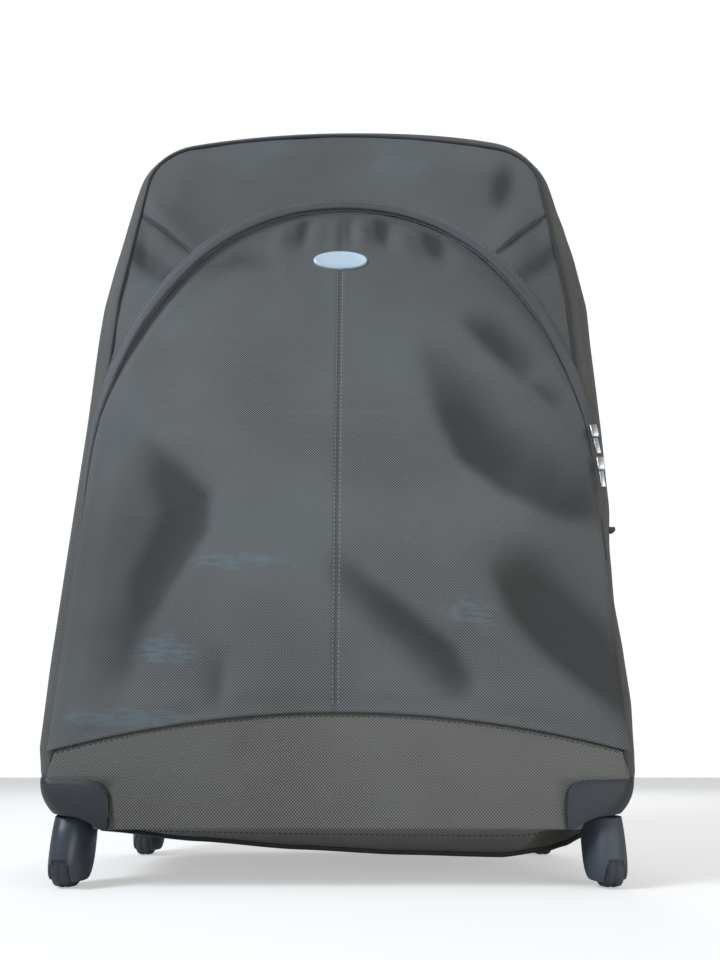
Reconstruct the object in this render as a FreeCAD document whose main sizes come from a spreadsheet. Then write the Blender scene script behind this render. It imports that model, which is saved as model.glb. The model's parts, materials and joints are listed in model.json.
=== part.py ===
import FreeCAD, Part
import math
import os
import re

# Soft-sided four-wheel suitcase, standing upright on its casters.
# X runs to the viewer's right, Y from the front face to the back, Z up; the floor is z = 0.
# The front section is a lid hinged on the left long side; it carries the two front casters.

Vector = FreeCAD.Vector

doc = FreeCAD.newDocument("Suitcase")
dims = doc.addObject("Spreadsheet::Sheet", "Dims")

DIMENSIONS = {
    # overall box of the bag
    "half_width": 240.0,
    "front_plane": -150.0,
    "back_plane": 150.0,
    "split_plane": -70.0,
    "crown_top": 772.0,
    "crown_radius": 820.0,
    "corner_radius": 68.0,
    "waist_height": 540.0,
    "side_lean": 5.0,
    "shell_bottom": 52.0,
    "wall": 3.5,
    "board": 4.0,
    "floor_sheet": 3.0,
    # the belly of the case hangs between the casters
    "belly_bottom": 26.0,
    "belly_half_width": 170.0,
    "front_edge_bottom": 43.0,
    "zip_half": 3.8,
    "zip_gap": 0.2,
    # front pocket under the arched zip
    "arch_top_radius": 200.0,
    "arch_top_centre": 452.0,
    "arch_side_radius": 380.0,
    "arch_side_height": 344.0,
    "pocket_front": -158.0,
    "pocket_sheet": 3.7,
    "pocket_fold": 318.0,
    "flap_width": 14.0,
    "kick_radius": 935.0,
    "kick_top": 131.5,
    # corner guards
    "guard_inner": 180.0,
    "guard_outer": 243.0,
    "guard_top": 81.0,
    "guard_corner": 22.0,
    "guard_depth": 70.0,
    "guard_sheet": 3.0,
    # casters
    "caster_side": 216.0,
    "caster_front": -111.0,
    "caster_rear": 118.0,
    "trail": 12.0,
    "wheel_radius": 23.0,
    "wheel_width": 16.0,
    "hub_radius": 15.0,
    "axle_radius": 3.0,
    "running_gap": 0.05,
    "fork_width": 37.0,
    "fork_radius": 27.0,
    "fork_slot": 18.8,
    "fork_slot_radius": 24.4,
    "fork_top": 51.6,
    "kingpin_radius": 4.0,
    # trolley
    "tube_side": 85.0,
    "tube_depth": 128.0,
    "outer_tube_wide": 24.0,
    "outer_tube_deep": 16.0,
    "outer_tube_wall": 1.5,
    "tube_gap": 0.3,
    "inner_tube_wall": 1.4,
    "outer_tube_top": 761.0,
    "outer_tube_bottom": 60.0,
    "inner_tube_bottom": 110.0,
    "grip_half": 105.0,
    "grip_bottom": 777.0,
    "grip_top": 789.0,
    "grip_deep": 32.0,
    "rod_radius": 2.0,
    "cover_half": 112.0,
    "cover_front": 108.0,
    "cover_sheet": 2.0,
    "button_half": 20.0,
    # skid rails on the back
    "skid_side": 150.0,
    "skid_half": 7.0,
    "skid_low": 95.0,
    "skid_high": 245.0,
    "skid_proud": 10.0,
    # carry handles
    "handle_reach": 92.0,
    "handle_depth": 30.0,
    "handle_half": 15.0,
    "leg_half": 12.0,
    "leg_sheet": 6.0,
    "bracket_half": 18.0,
    "slot_gap": 0.6,
    "side_handle_low": 310.0,
    "side_handle_high": 510.0,
    # packing straps across the case
    "strap_front": 103.0,
    "strap_sheet": 2.0,
    "strap_wide": 38.0,
    "lower_strap": 230.0,
    "upper_strap": 500.0,
    "buckle_half": 30.0,
    "buckle_deep": 7.0,
    # zip sliders
    "slider_long": 13.0,
    "slider_wide": 7.0,
    "slider_high": 4.5,
    "pull_long": 26.0,
    "pull_thick": 1.4,
    "pull_gap": 0.7,
    # badge
    "badge_side": -3.0,
    "badge_height": 580.0,
    "badge_half_wide": 28.0,
    "badge_half_high": 11.5,
    "badge_sheet": 2.4,
}

for row, (alias, value) in enumerate(DIMENSIONS.items(), start=1):
    dims.set(f"A{row}", alias)
    dims.set(f"B{row}", f"{value:g}")
    dims.setAlias(f"B{row}", alias)
doc.recompute()

nodes = {}
WORD = re.compile(r"[a-z_]{3,}")


def size(alias):
    """A driving dimension as a plain number."""
    return float(dims.get(alias))


def formula(text):
    """An expression whose dimension names point at the sheet."""
    return WORD.sub(lambda m: "Dims." + m.group(0) if m.group(0) in DIMENSIONS else m.group(0), str(text))


def bind(item, prop, text):
    item.setExpression(prop, formula(text))


def node(label, item):
    """Gives a finished sub-part its label, which is also its file name."""
    item.Label = label
    nodes[label] = item
    return item


# --- solids -------------------------------------------------------------------------------


def block(x, y, z):
    """A box between two limits on each axis, every limit bound to the sheet."""
    item = doc.addObject("Part::Box", "Block")
    for prop, letter, (low, high) in (("Length", "x", x), ("Width", "y", y), ("Height", "z", z)):
        bind(item, prop, f"({high}) - ({low})")
        bind(item, f"Placement.Base.{letter}", low)
    return item


TURN = {
    "x": FreeCAD.Rotation(Vector(0, 1, 0), 90),
    "y": FreeCAD.Rotation(Vector(1, 0, 0), -90),
    "z": FreeCAD.Rotation(),
}


def drum(axis, radius, centre, start, end):
    """A cylinder along an axis, between two places on it; centre holds the other two."""
    item = doc.addObject("Part::Cylinder", "Drum")
    item.Placement = FreeCAD.Placement(Vector(), TURN[axis])
    bind(item, "Radius", radius)
    bind(item, "Height", f"({end}) - ({start})")
    across = [letter for letter in "xyz" if letter != axis]
    bind(item, f"Placement.Base.{axis}", start)
    for letter, place in zip(across, centre):
        bind(item, f"Placement.Base.{letter}", place)
    return item


def fuse(*items):
    joined = doc.addObject("Part::MultiFuse", "Join")
    joined.Shapes = list(items)
    joined.Refine = True
    return joined


def cut(base, *tools):
    item = doc.addObject("Part::Cut", "Cut")
    item.Base = base
    item.Tool = tools[0] if len(tools) == 1 else fuse(*tools)
    return item


def common(first, second):
    item = doc.addObject("Part::Common", "Common")
    item.Base = first
    item.Tool = second
    return item


def group(*items):
    """Separate solids that share one node."""
    item = doc.addObject("Part::Compound", "Group")
    item.Links = list(items)
    return item


def outline_body(plane, start, length, loop):
    """A closed outline padded from one place along its plane's normal.

    On XZ the normal is -Y, so start is the rear face and the pad runs to the front.
    """
    body = doc.addObject("PartDesign::Body", "Outline")
    origin_plane = next(f for f in body.Origin.OriginFeatures if f.Role == plane)
    sketch = body.newObject("Sketcher::SketchObject", "Profile")
    sketch.AttachmentSupport = [(origin_plane, "")]
    sketch.MapMode = "FlatFace"
    bind(sketch, "AttachmentOffset.Base.z", f"-({start})" if plane == "XZ_Plane" else start)
    sketch.addGeometry(loop, False)
    pad = body.newObject("PartDesign::Pad", "Pad")
    pad.Profile = sketch
    bind(pad, "Length", length)
    body.Tip = pad
    return body


def line(a, b):
    return Part.LineSegment(Vector(a[0], a[1], 0), Vector(b[0], b[1], 0))


def polygon(points):
    return [line(a, b) for a, b in zip(points, points[1:] + points[:1])]


def arc(centre, radius, start, end):
    """An arc about a centre, its angles in degrees."""
    circle = Part.Circle(Vector(centre[0], centre[1], 0), Vector(0, 0, 1), radius)
    return Part.ArcOfCircle(circle, math.radians(min(start, end)), math.radians(max(start, end)))


def polar(centre, radius, angle):
    turn = math.radians(angle)
    return centre[0] + radius * math.cos(turn), centre[1] + radius * math.sin(turn)


def sided(side, inner, outer):
    """The low and high x of a piece on the right (1) or left (-1)."""
    return (inner, outer) if side > 0 else (f"-({outer})", f"-({inner})")


# --- the bag's outline --------------------------------------------------------------------


def corner_centre():
    """The centre of the top corner's arc, tangent to the leaning side and the crown."""
    lean = math.radians(size("side_lean"))
    inward = (-math.cos(lean), -math.sin(lean))
    up = (-math.sin(lean), math.cos(lean))
    radius = size("corner_radius")
    reach = size("crown_radius") - radius
    crown_centre = size("crown_top") - size("crown_radius")
    foot_x = size("half_width") + inward[0] * radius
    foot_z = size("waist_height") + inward[1] * radius - crown_centre
    along = foot_x * up[0] + foot_z * up[1]
    rest = foot_x**2 + foot_z**2 - reach**2
    run = -along + math.sqrt(along**2 - rest)
    return foot_x + run * up[0], foot_z + run * up[1] + crown_centre


CROWN = (0.0, size("crown_top") - size("crown_radius"))
CORNER = corner_centre()
CROWN_ANGLE = math.degrees(math.atan2(CORNER[1] - CROWN[1], CORNER[0]))


def mirrored(centre):
    return -centre[0], centre[1]


def half_points(inset, bottom):
    """Foot, waist, corner start and corner end of the right-hand outline."""
    edge = size("half_width") - inset
    waist = size("waist_height") - inset * math.tan(math.radians(size("side_lean") / 2))
    radius = size("corner_radius") - inset
    return [
        (edge, bottom),
        (edge, waist),
        polar(CORNER, radius, size("side_lean")),
        polar(CORNER, radius, CROWN_ANGLE),
    ]


def outline(inset, bottom):
    """The open outline from the right foot over the crown to the left foot."""
    right = half_points(inset, bottom)
    left = [mirrored(p) for p in right]
    radius = size("corner_radius") - inset
    lean = size("side_lean")
    return [
        line(right[0], right[1]),
        line(right[1], right[2]),
        arc(CORNER, radius, lean, CROWN_ANGLE),
        arc(CROWN, size("crown_radius") - inset, CROWN_ANGLE, 180 - CROWN_ANGLE),
        arc(mirrored(CORNER), radius, 180 - CROWN_ANGLE, 180 - lean),
        line(left[2], left[1]),
        line(left[1], left[0]),
    ]


def filled(inset, bottom):
    """The whole silhouette, closed along its foot."""
    right = half_points(inset, bottom)[0]
    return outline(inset, bottom) + [line(mirrored(right), right)]


def band(inset, thickness, bottom):
    """A wall of one thickness that runs up one side, over the crown and down the other."""
    outer = half_points(inset, bottom)[0]
    inner = half_points(inset + thickness, bottom)[0]
    feet = [line(outer, inner), line(mirrored(outer), mirrored(inner))]
    return outline(inset, bottom) + outline(inset + thickness, bottom) + feet


# --- the front pocket's arch --------------------------------------------------------------

ARCH_TOP = (0.0, size("arch_top_centre"))
ARCH_SPREAD = size("arch_side_radius") - size("arch_top_radius")
ARCH_RISE = size("arch_top_centre") - size("arch_side_height")
ARCH_JOIN = math.degrees(math.asin(ARCH_RISE / ARCH_SPREAD))
ARCH_SIDE = (-math.sqrt(ARCH_SPREAD**2 - ARCH_RISE**2), size("arch_side_height"))


def arch(growth, bottom):
    """The pocket's three-centred arch, grown outwards, down to a straight foot."""
    edge = ARCH_SIDE[0] + size("arch_side_radius") + growth
    side = size("arch_side_radius") + growth
    foot = bottom
    geometry = []
    if bottom < ARCH_SIDE[1]:
        geometry.append(line((edge, bottom), (edge, ARCH_SIDE[1])))
        geometry.append(line((-edge, bottom), (-edge, ARCH_SIDE[1])))
        foot = ARCH_SIDE[1]
    start = math.degrees(math.asin((foot - ARCH_SIDE[1]) / side))
    geometry += [
        arc(ARCH_SIDE, side, start, ARCH_JOIN),
        arc(mirrored(ARCH_SIDE), side, 180 - ARCH_JOIN, 180 - start),
        arc(ARCH_TOP, size("arch_top_radius") + growth, ARCH_JOIN, 180 - ARCH_JOIN),
        line((-edge, bottom), (edge, bottom)),
    ]
    return geometry


def front_layer(loop, rear, depth):
    return outline_body("XZ_Plane", rear, depth, loop)


def below_kick(drop):
    """Everything under the kick panel's bowed seam, lowered by a gap."""
    radius = size("kick_radius")
    top = size("kick_top") - drop
    reach = size("half_width") + 30
    edge = top - radius + math.sqrt(radius**2 - reach**2)
    angle = math.degrees(math.acos(reach / radius))
    points = [(reach, edge), (reach, 10.0), (-reach, 10.0), (-reach, edge)]
    loop = [line(a, b) for a, b in zip(points, points[1:])]
    loop.append(arc((0.0, top - radius), radius, angle, 180 - angle))
    return front_layer(loop, "front_plane + 60", "120")


SEAM_GAP = 0.3

# --- case: the rear section ---------------------------------------------------------------

CASE_FRONT = "split_plane + zip_gap + zip_half"
LID_BACK = "split_plane - zip_gap - zip_half"
TRAY_TOP = size("shell_bottom") + size("floor_sheet")


def tube_holes(wide, deep, low, high):
    """One upright box per trolley tube, for cutting a clear way."""
    return [
        block(
            (f"{side} * tube_side - ({wide}) / 2", f"{side} * tube_side + ({wide}) / 2"),
            (f"tube_depth - ({deep}) / 2", f"tube_depth + ({deep}) / 2"),
            (low, high),
        )
        for side in (1, -1)
    ]


SIDE_HANDLE_FEET = ("(side_handle_low + bracket_half / 2)", "(side_handle_high - bracket_half / 2)")


def handle_slots(gap):
    """The slots that the top handle's two legs slide in."""
    return [
        block(
            sided(side, f"handle_reach - leg_sheet - {gap}", f"handle_reach + {gap}"),
            (f"handle_depth - leg_half - {gap}", f"handle_depth + leg_half + {gap}"),
            ("crown_top - 32", "crown_top + 28"),
        )
        for side in (1, -1)
    ]


def side_handle_slots(gap):
    """The slots that the side handle's two legs slide in."""
    return [
        block(
            ("half_width - 30", "half_width + 30"),
            (f"handle_depth - leg_half - {gap}", f"handle_depth + leg_half + {gap}"),
            (f"{foot} - leg_sheet / 2 - {gap}", f"{foot} + leg_sheet / 2 + {gap}"),
        )
        for foot in SIDE_HANDLE_FEET
    ]


def build_case():
    shell = outline_body(
        "XZ_Plane", "back_plane - board", f"back_plane - board - ({CASE_FRONT})",
        band(0.0, size("wall"), TRAY_TOP),
    )
    ways = tube_holes("outer_tube_wide + 1", "outer_tube_deep + 1", "740", "800")
    node("case_band", cut(shell, *ways, *handle_slots("slot_gap"), *side_handle_slots("slot_gap")))

    half = size("half_width")
    belly = size("belly_half_width")
    sheet = size("floor_sheet")
    bottom = size("shell_bottom")
    dip = size("belly_bottom")
    right = [
        (half, bottom), (belly + sheet, bottom), (belly, dip),
        (belly - sheet, dip + sheet), (belly, TRAY_TOP), (half, TRAY_TOP),
    ]
    left = [mirrored(p) for p in right]
    tray = outline_body(
        "XZ_Plane", "back_plane - board", f"back_plane - board - ({CASE_FRONT})",
        polygon(right[:3] + left[2::-1] + left[:2:-1] + right[3:]),
    )
    pins = [
        drum("z", "kingpin_radius", (f"{side} * caster_side", "caster_rear"), "40", "70")
        for side in (1, -1)
    ]
    node("base_tray", cut(tray, *pins))
    board_loop = filled(0.0, TRAY_TOP)
    node("back_board", outline_body("XZ_Plane", "back_plane", "board", board_loop))


def build_zip_halves():
    """The two toothed halves of the main zip, up the right side, over the top and under."""
    for label, rear in (
        ("zip_case_half", "split_plane + zip_gap + zip_half"),
        ("zip_lid_half", "split_plane - zip_gap"),
    ):
        loop = band(0.6, 2.4, TRAY_TOP)
        ring = outline_body("XZ_Plane", rear, "zip_half", loop)
        hinge_side = block(("-half_width - 5", "-belly_half_width"), ("-90", "-50"), ("40", "690"))
        node(label, cut(ring, hinge_side))


def kingpins(label, depth):
    """A flanged pin above each caster, pressed through the floor plate."""
    pins = [
        fuse(
            drum("z", "kingpin_radius", (f"{side} * caster_side", depth), "46", "58"),
            drum("z", "kingpin_radius * 2", (f"{side} * caster_side", depth), str(TRAY_TOP), "58"),
        )
        for side in (1, -1)
    ]
    node(label, group(*pins))


def guard(side, rear):
    """A moulded corner guard: a face plate with one round corner, and a side cheek."""
    inner = side * size("guard_inner")
    outer = side * size("guard_outer")
    low = size("shell_bottom") if rear else size("front_edge_bottom")
    top = size("guard_top")
    radius = size("guard_corner")
    turn = (90, 180) if side > 0 else (0, 90)
    step = side * 14.0
    centre = (inner + side * radius, top - radius)
    loop = [
        line((centre[0], top), (outer, top)),
        line((outer, top), (outer, size("shell_bottom"))),
        line((outer, size("shell_bottom")), (outer - step, low)),
        line((outer - step, low), (inner, low)),
        line((inner, low), (inner, centre[1])),
        arc(centre, radius, *turn),
    ]
    face_rear = "back_plane + guard_sheet" if rear else "front_plane"
    face = outline_body("XZ_Plane", face_rear, "guard_sheet", loop)
    depth = ("back_plane - guard_depth", "back_plane") if rear else (
        "front_plane", "front_plane + guard_depth")
    cheek = block(sided(side, "half_width", "guard_outer"), depth, ("shell_bottom", "guard_top"))
    place = "rear" if rear else "front"
    hand = "right" if side > 0 else "left"
    node(f"{place}_guard_{hand}", fuse(face, cheek))


def build_back_fittings():
    skids = [
        block(sided(side, "skid_side - skid_half", "skid_side + skid_half"),
              ("back_plane", "back_plane + skid_proud"), ("skid_low", "skid_high"))
        for side in (1, -1)
    ]
    node("rear_skids", group(*skids))


# --- trolley ------------------------------------------------------------------------------


def tube_pair(wide, deep, wall, low, high):
    """Two upright rectangular tubes."""
    outer = tube_holes(wide, deep, low, high)
    inner = tube_holes(f"{wide} - 2 * {wall}", f"{deep} - 2 * {wall}", low, high)
    return group(*[cut(solid, hollow) for solid, hollow in zip(outer, inner)])


INNER_WIDE = "outer_tube_wide - 2 * outer_tube_wall - 2 * tube_gap"
INNER_DEEP = "outer_tube_deep - 2 * outer_tube_wall - 2 * tube_gap"


def crown_core():
    """The bag's full silhouette as a solid, for shaping what sits on the crown."""
    return outline_body("XZ_Plane", "back_plane", "back_plane - front_plane", filled(0.0, 100.0))


def build_trolley():
    node("trolley_outer_tubes", tube_pair(
        "outer_tube_wide", "outer_tube_deep", "outer_tube_wall", "outer_tube_bottom", "outer_tube_top"))
    node("trolley_inner_tubes", tube_pair(
        f"({INNER_WIDE})", f"({INNER_DEEP})", "inner_tube_wall", "inner_tube_bottom", "grip_bottom + 2"))
    node("trolley_foot", block(
        ("-tube_side - 20", "tube_side + 20"), ("tube_depth - 10", "tube_depth + 10"),
        ("outer_tube_bottom - 20", "outer_tube_bottom")))
    cover_top = "crown_top - 16"
    cover_z = ("belly_bottom + floor_sheet", cover_top)
    outside = block(("-cover_half", "cover_half"), ("cover_front", "back_plane - board"), cover_z)
    inside = block(("-cover_half + cover_sheet", "cover_half - cover_sheet"),
                   ("cover_front + cover_sheet", "back_plane - board"), cover_z)
    node("trolley_cover", cut(outside, inside))
    plate = block(("-grip_half - 6", "grip_half + 6"), ("tube_depth - 18", "tube_depth + 18"),
                  ("crown_top - 12", "crown_top + 3.6"))
    ways = tube_holes(f"{INNER_WIDE} + 0.8", f"{INNER_DEEP} + 0.8", "740", "800")
    node("trolley_bezel", cut(plate, crown_core(), *ways))

    grip_x = ("-grip_half", "grip_half")
    grip_y = ("tube_depth - grip_deep / 2", "tube_depth + grip_deep / 2")
    hollow_x = ("-grip_half + 4", "grip_half - 4")
    hollow_y = ("tube_depth - grip_deep / 2 + 3", "tube_depth + grip_deep / 2 - 3")
    seam = "grip_bottom + 6"
    lower = block(grip_x, grip_y, ("grip_bottom", seam))
    cavity = block(hollow_x, hollow_y, ("grip_bottom + 2", seam))
    sockets = tube_holes(f"{INNER_WIDE}", f"{INNER_DEEP}", "grip_bottom - 1", "grip_bottom + 3")
    node("grip_lower_shell", cut(lower, cavity, *sockets))
    upper = block(grip_x, grip_y, (seam, "grip_top"))
    attic = block(hollow_x, hollow_y, (seam, "grip_top - 2"))
    mouth = block(("-button_half - 0.5", "button_half + 0.5"), ("tube_depth - 7.5", "tube_depth + 7.5"),
                  (seam, "grip_top + 5"))
    node("grip_upper_shell", cut(upper, attic, mouth))
    cap = block(("-button_half", "button_half"), ("tube_depth - 7", "tube_depth + 7"),
                ("grip_top - 4", "grip_top + 1"))
    bar = block(("-tube_side - 5", "tube_side + 5"), ("tube_depth - 3", "tube_depth + 3"),
                ("grip_top - 6", "grip_top - 4"))
    node("release_button", fuse(cap, bar))
    rods = [
        drum("z", "rod_radius", (f"{side} * tube_side", "tube_depth"),
             "inner_tube_bottom + 20", "grip_top - 6")
        for side in (1, -1)
    ]
    node("release_rods", group(*rods))


# --- carry handles ------------------------------------------------------------------------


def build_handles():
    sockets = [
        cut(
            block(
                sided(side, "handle_reach - 12", "handle_reach + 12"),
                ("handle_depth - bracket_half", "handle_depth + bracket_half"),
                ("crown_top - 14", "crown_top + 5"),
            ),
            crown_core(),
            handle_slots("slot_gap")[0 if side > 0 else 1],
        )
        for side in (1, -1)
    ]
    node("top_handle_brackets", group(*sockets))
    strap_y = ("handle_depth - handle_half", "handle_depth + handle_half")
    leg_y = ("handle_depth - leg_half", "handle_depth + leg_half")
    strap = block(("-handle_reach", "handle_reach"), strap_y, ("crown_top + 5.6", "crown_top + 14"))
    legs = [
        block(sided(side, "handle_reach - leg_sheet", "handle_reach"), leg_y,
              ("crown_top - 22", "crown_top + 10"))
        for side in (1, -1)
    ]
    node("top_handle", fuse(strap, *legs))

    ends = ("side_handle_low", "side_handle_high - bracket_half")
    side_sockets = [
        cut(
            block(("half_width - 3", "half_width + 5"),
                  ("handle_depth - bracket_half", "handle_depth + bracket_half"),
                  (low, f"{low} + bracket_half")),
            crown_core(),
            side_handle_slots("slot_gap")[place],
        )
        for place, low in enumerate(ends)
    ]
    node("side_handle_brackets", group(*side_sockets))
    side_strap = block(("half_width + 5.4", "half_width + 10"), strap_y,
                       ("side_handle_low + 3", "side_handle_high - 3"))
    side_legs = [
        block(("half_width - 16", "half_width + 8"), leg_y,
              (f"{foot} - leg_sheet / 2", f"{foot} + leg_sheet / 2"))
        for foot in SIDE_HANDLE_FEET
    ]
    node("side_handle", fuse(side_strap, *side_legs))


def build_packing_straps():
    heights = ("lower_strap", "upper_strap")
    room = size("wall") + 1.0
    straps = [
        common(
            block(("-half_width", "half_width"), ("strap_front", "strap_front + strap_sheet"),
                  (low, f"{low} + strap_wide")),
            outline_body("XZ_Plane", "strap_front + 20", "40", filled(room, 100.0)),
        )
        for low in heights
    ]
    node("packing_straps", group(*straps))
    buckles = [
        block(("-buckle_half", "buckle_half"), ("strap_front - buckle_deep", "strap_front"),
              (f"{low} - 4", f"{low} + strap_wide + 4"))
        for low in heights
    ]
    node("strap_buckles", group(*buckles))


# --- lid: the front section ---------------------------------------------------------------


def build_lid_shell():
    lid_depth = f"{LID_BACK} - (front_plane + board)"
    node("lid_band", outline_body("XZ_Plane", LID_BACK, lid_depth, band(0.0, size("wall"), TRAY_TOP)))

    front = size("front_plane") + size("board")
    back = size("split_plane") - size("zip_gap") - size("zip_half")
    sheet = size("floor_sheet")
    slope = [
        (front, size("front_edge_bottom")), (back, size("belly_bottom")),
        (back, size("belly_bottom") + sheet), (front, size("front_edge_bottom") + sheet),
    ]
    floor = outline_body("YZ_Plane", "-belly_half_width", "2 * belly_half_width", polygon(slope))
    depth = ("front_plane + board", LID_BACK)
    walls = [
        block(sided(side, "belly_half_width - 0.5", "belly_half_width + floor_sheet"), depth,
              ("belly_bottom + 2", "shell_bottom + floor_sheet"))
        for side in (1, -1)
    ]
    under_slope = outline_body(
        "YZ_Plane", "-belly_half_width - 5", "2 * belly_half_width + 10",
        polygon([slope[0], slope[1], (back, 0.0), (front, 0.0)]))
    plates = [
        cut(
            block(sided(side, "belly_half_width", "half_width"), depth,
                  ("shell_bottom", "shell_bottom + floor_sheet")),
            drum("z", "kingpin_radius", (f"{side} * caster_side", "caster_front"), "40", "70"),
        )
        for side in (1, -1)
    ]
    node("lid_floor", cut(fuse(floor, *walls, *plates), under_slope))

    outer_ring = outline_body("XZ_Plane", "front_plane + board + 7", "6", filled(4.2, 58.0))
    inner_ring = outline_body("XZ_Plane", "front_plane + board + 8", "8", filled(9.2, 63.0))
    node("lid_frame", cut(outer_ring, inner_ring))


def above_shoulder_seams(drop):
    """The region over the two slanting shoulder seams."""
    inner = (140.0, 574.0 - drop)
    outer = (260.0, 682.6 - drop)
    top = (260.0, 820.0)
    right = [inner, outer, top]
    left = [mirrored(p) for p in right]
    return front_layer(polygon(right + left[::-1]), "front_plane + 60", "120")


def build_front_panels():
    rear = "front_plane + board"
    foot = 90.0
    whole = filled(0.0, foot)
    node("yoke_panel", cut(
        common(front_layer(whole, rear, "board"), above_shoulder_seams(0.0)),
        front_layer(arch(SEAM_GAP, foot), "front_plane + 60", "120")))
    node("shoulder_panels", cut(
        front_layer(whole, rear, "board"), above_shoulder_seams(SEAM_GAP),
        front_layer(arch(SEAM_GAP, foot), "front_plane + 60", "120"), below_kick(-SEAM_GAP)))
    node("pocket_backing", cut(front_layer(arch(0.0, foot), rear, "board"), below_kick(-SEAM_GAP)))

    notch = size("guard_inner") - SEAM_GAP
    half = size("half_width")
    low = size("front_edge_bottom")
    shelf = size("guard_top") + SEAM_GAP
    tall = size("kick_top") + 20
    points = [(notch, low), (notch, shelf), (half, shelf), (half, tall)]
    loop = polygon(points + [mirrored(p) for p in points[::-1]])
    node("kick_panel", common(front_layer(loop, rear, "board"), below_kick(0.0)))

    flap = cut(
        front_layer(arch(size("flap_width"), foot), "pocket_front + 4", "3"),
        front_layer(arch(0.8, foot - 10), "front_plane + 60", "120"), below_kick(-SEAM_GAP))
    node("arch_flap", common(flap, front_layer(filled(0.0, foot), "front_plane + 60", "120")))


POCKET_FOOT = 90.0
POCKET_RIM = 6.0


def pocket_tray(rim_rear):
    """The pocket's front sheet with a rim all round that reaches back towards the lid."""
    outside = front_layer(arch(0.0, POCKET_FOOT), rim_rear, f"{rim_rear} - pocket_front")
    inside = front_layer(arch(-POCKET_RIM, POCKET_FOOT - 10), "front_plane + 5",
                         "front_plane + 5 - pocket_front - pocket_sheet")
    return cut(outside, inside)


def build_pocket():
    above = block(("-300", "300"), ("-200", "-100"), (f"pocket_fold - {SEAM_GAP}", "700"))
    node("pocket_panel_lower", cut(pocket_tray("front_plane"), above, below_kick(-SEAM_GAP)))
    below = block(("-300", "300"), ("-200", "-100"), ("0", f"pocket_fold + {SEAM_GAP}"))
    node("pocket_panel_upper", cut(pocket_tray(f"front_plane - {SEAM_GAP}"), below))

    middle = Vector(size("badge_side"), size("badge_height"), 0)
    oval = Part.Ellipse(middle, size("badge_half_wide"), size("badge_half_high"))
    node("badge", outline_body("XZ_Plane", "pocket_front", "badge_sheet", [oval]))


# --- casters ------------------------------------------------------------------------------


def caster(name, side, depth):
    """One swivelling caster: hooded fork, hub with its axle, and tyre."""
    axle_depth = f"{depth} - trail"
    middle = f"{side} * caster_side"
    across = (f"{middle} - fork_width / 2", f"{middle} + fork_width / 2")
    slot = (f"{middle} - fork_slot / 2", f"{middle} + fork_slot / 2")
    hood = fuse(
        drum("x", "fork_radius", (axle_depth, "wheel_radius"), *across),
        block(across, (f"{depth} - 16", f"{depth} + 16"), ("wheel_radius", "fork_top")),
    )
    tools = [
        drum("x", "fork_slot_radius", (axle_depth, "wheel_radius"), *slot),
        block(slot, (f"{axle_depth} - fork_radius - 1", f"{axle_depth} + 4"), ("0", "wheel_radius + 2")),
        block((f"{middle} - 30", f"{middle} + 30"), (f"{depth} - 60", f"{depth} + 60"), ("-10", "5")),
        block(slot, (f"{axle_depth} - 10", f"{axle_depth} + fork_radius + 1"), ("0", "14")),
        drum("x", "axle_radius + running_gap", (axle_depth, "wheel_radius"), *across),
        drum("z", "kingpin_radius + running_gap", (middle, depth), "45.6", "60"),
        drum("z", "300", ("0", "0"), "fork_top", "fork_top + 20"),
    ]
    node(f"{name}_fork", cut(hood, *tools))
    half = "wheel_width / 2"
    hub = fuse(
        drum("x", "hub_radius", (axle_depth, "wheel_radius"), f"{middle} - {half}", f"{middle} + {half}"),
        drum("x", "axle_radius", (axle_depth, "wheel_radius"),
             f"{middle} - fork_width / 2 + 2", f"{middle} + fork_width / 2 - 2"),
    )
    node(f"{name}_hub", hub)
    ring = drum("x", "wheel_radius", (axle_depth, "wheel_radius"), f"{middle} - {half}", f"{middle} + {half}")
    hole = drum("x", "hub_radius", (axle_depth, "wheel_radius"), f"{middle} - 20", f"{middle} + 20")
    node(f"{name}_tyre", cut(ring, hole))


# --- zip sliders --------------------------------------------------------------------------


def riding_block(centre, angle, rise, high, low_y, high_y, start, end):
    """A small block on an arc: rise above it, high outwards, from start to end along it."""
    item = doc.addObject("Part::Box", "Rider")
    bind(item, "Length", high)
    bind(item, "Width", f"({high_y}) - ({low_y})")
    bind(item, "Height", f"({end}) - ({start})")
    turn = FreeCAD.Rotation(Vector(0, 1, 0), -angle)
    corner = Vector(rise, dims_value(low_y), dims_value(start))
    item.Placement = FreeCAD.Placement(Vector(centre[0], 0, centre[1]) + turn.multVec(corner), turn)
    return item


def dims_value(text):
    """The value of a bound expression, worked out with the sheet's numbers."""
    probe = doc.addObject("App::FeaturePython", "Probe")
    probe.addProperty("App::PropertyFloat", "Result")
    probe.setExpression("Result", formula(text))
    doc.recompute([probe])
    value = probe.Result
    doc.removeObject(probe.Name)
    return value


def zip_slider(name, centre, radius, angle, depth, hang):
    """A slider on a curved zip and the pull that hinges on it; hang is the pull's way."""
    low, high = depth
    node(f"{name}_slider", riding_block(
        centre, angle, radius, "slider_high", low, high, "-slider_long / 2", "slider_long / 2"))
    near = "slider_long / 2 + pull_gap" if hang > 0 else "-slider_long / 2 - pull_gap - pull_long"
    far = "slider_long / 2 + pull_gap + pull_long" if hang > 0 else "-slider_long / 2 - pull_gap"
    node(f"{name}_pull", riding_block(
        centre, angle, radius + 0.8, "pull_thick", f"({low}) + 3", f"({high}) - 3", near, far))


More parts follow.
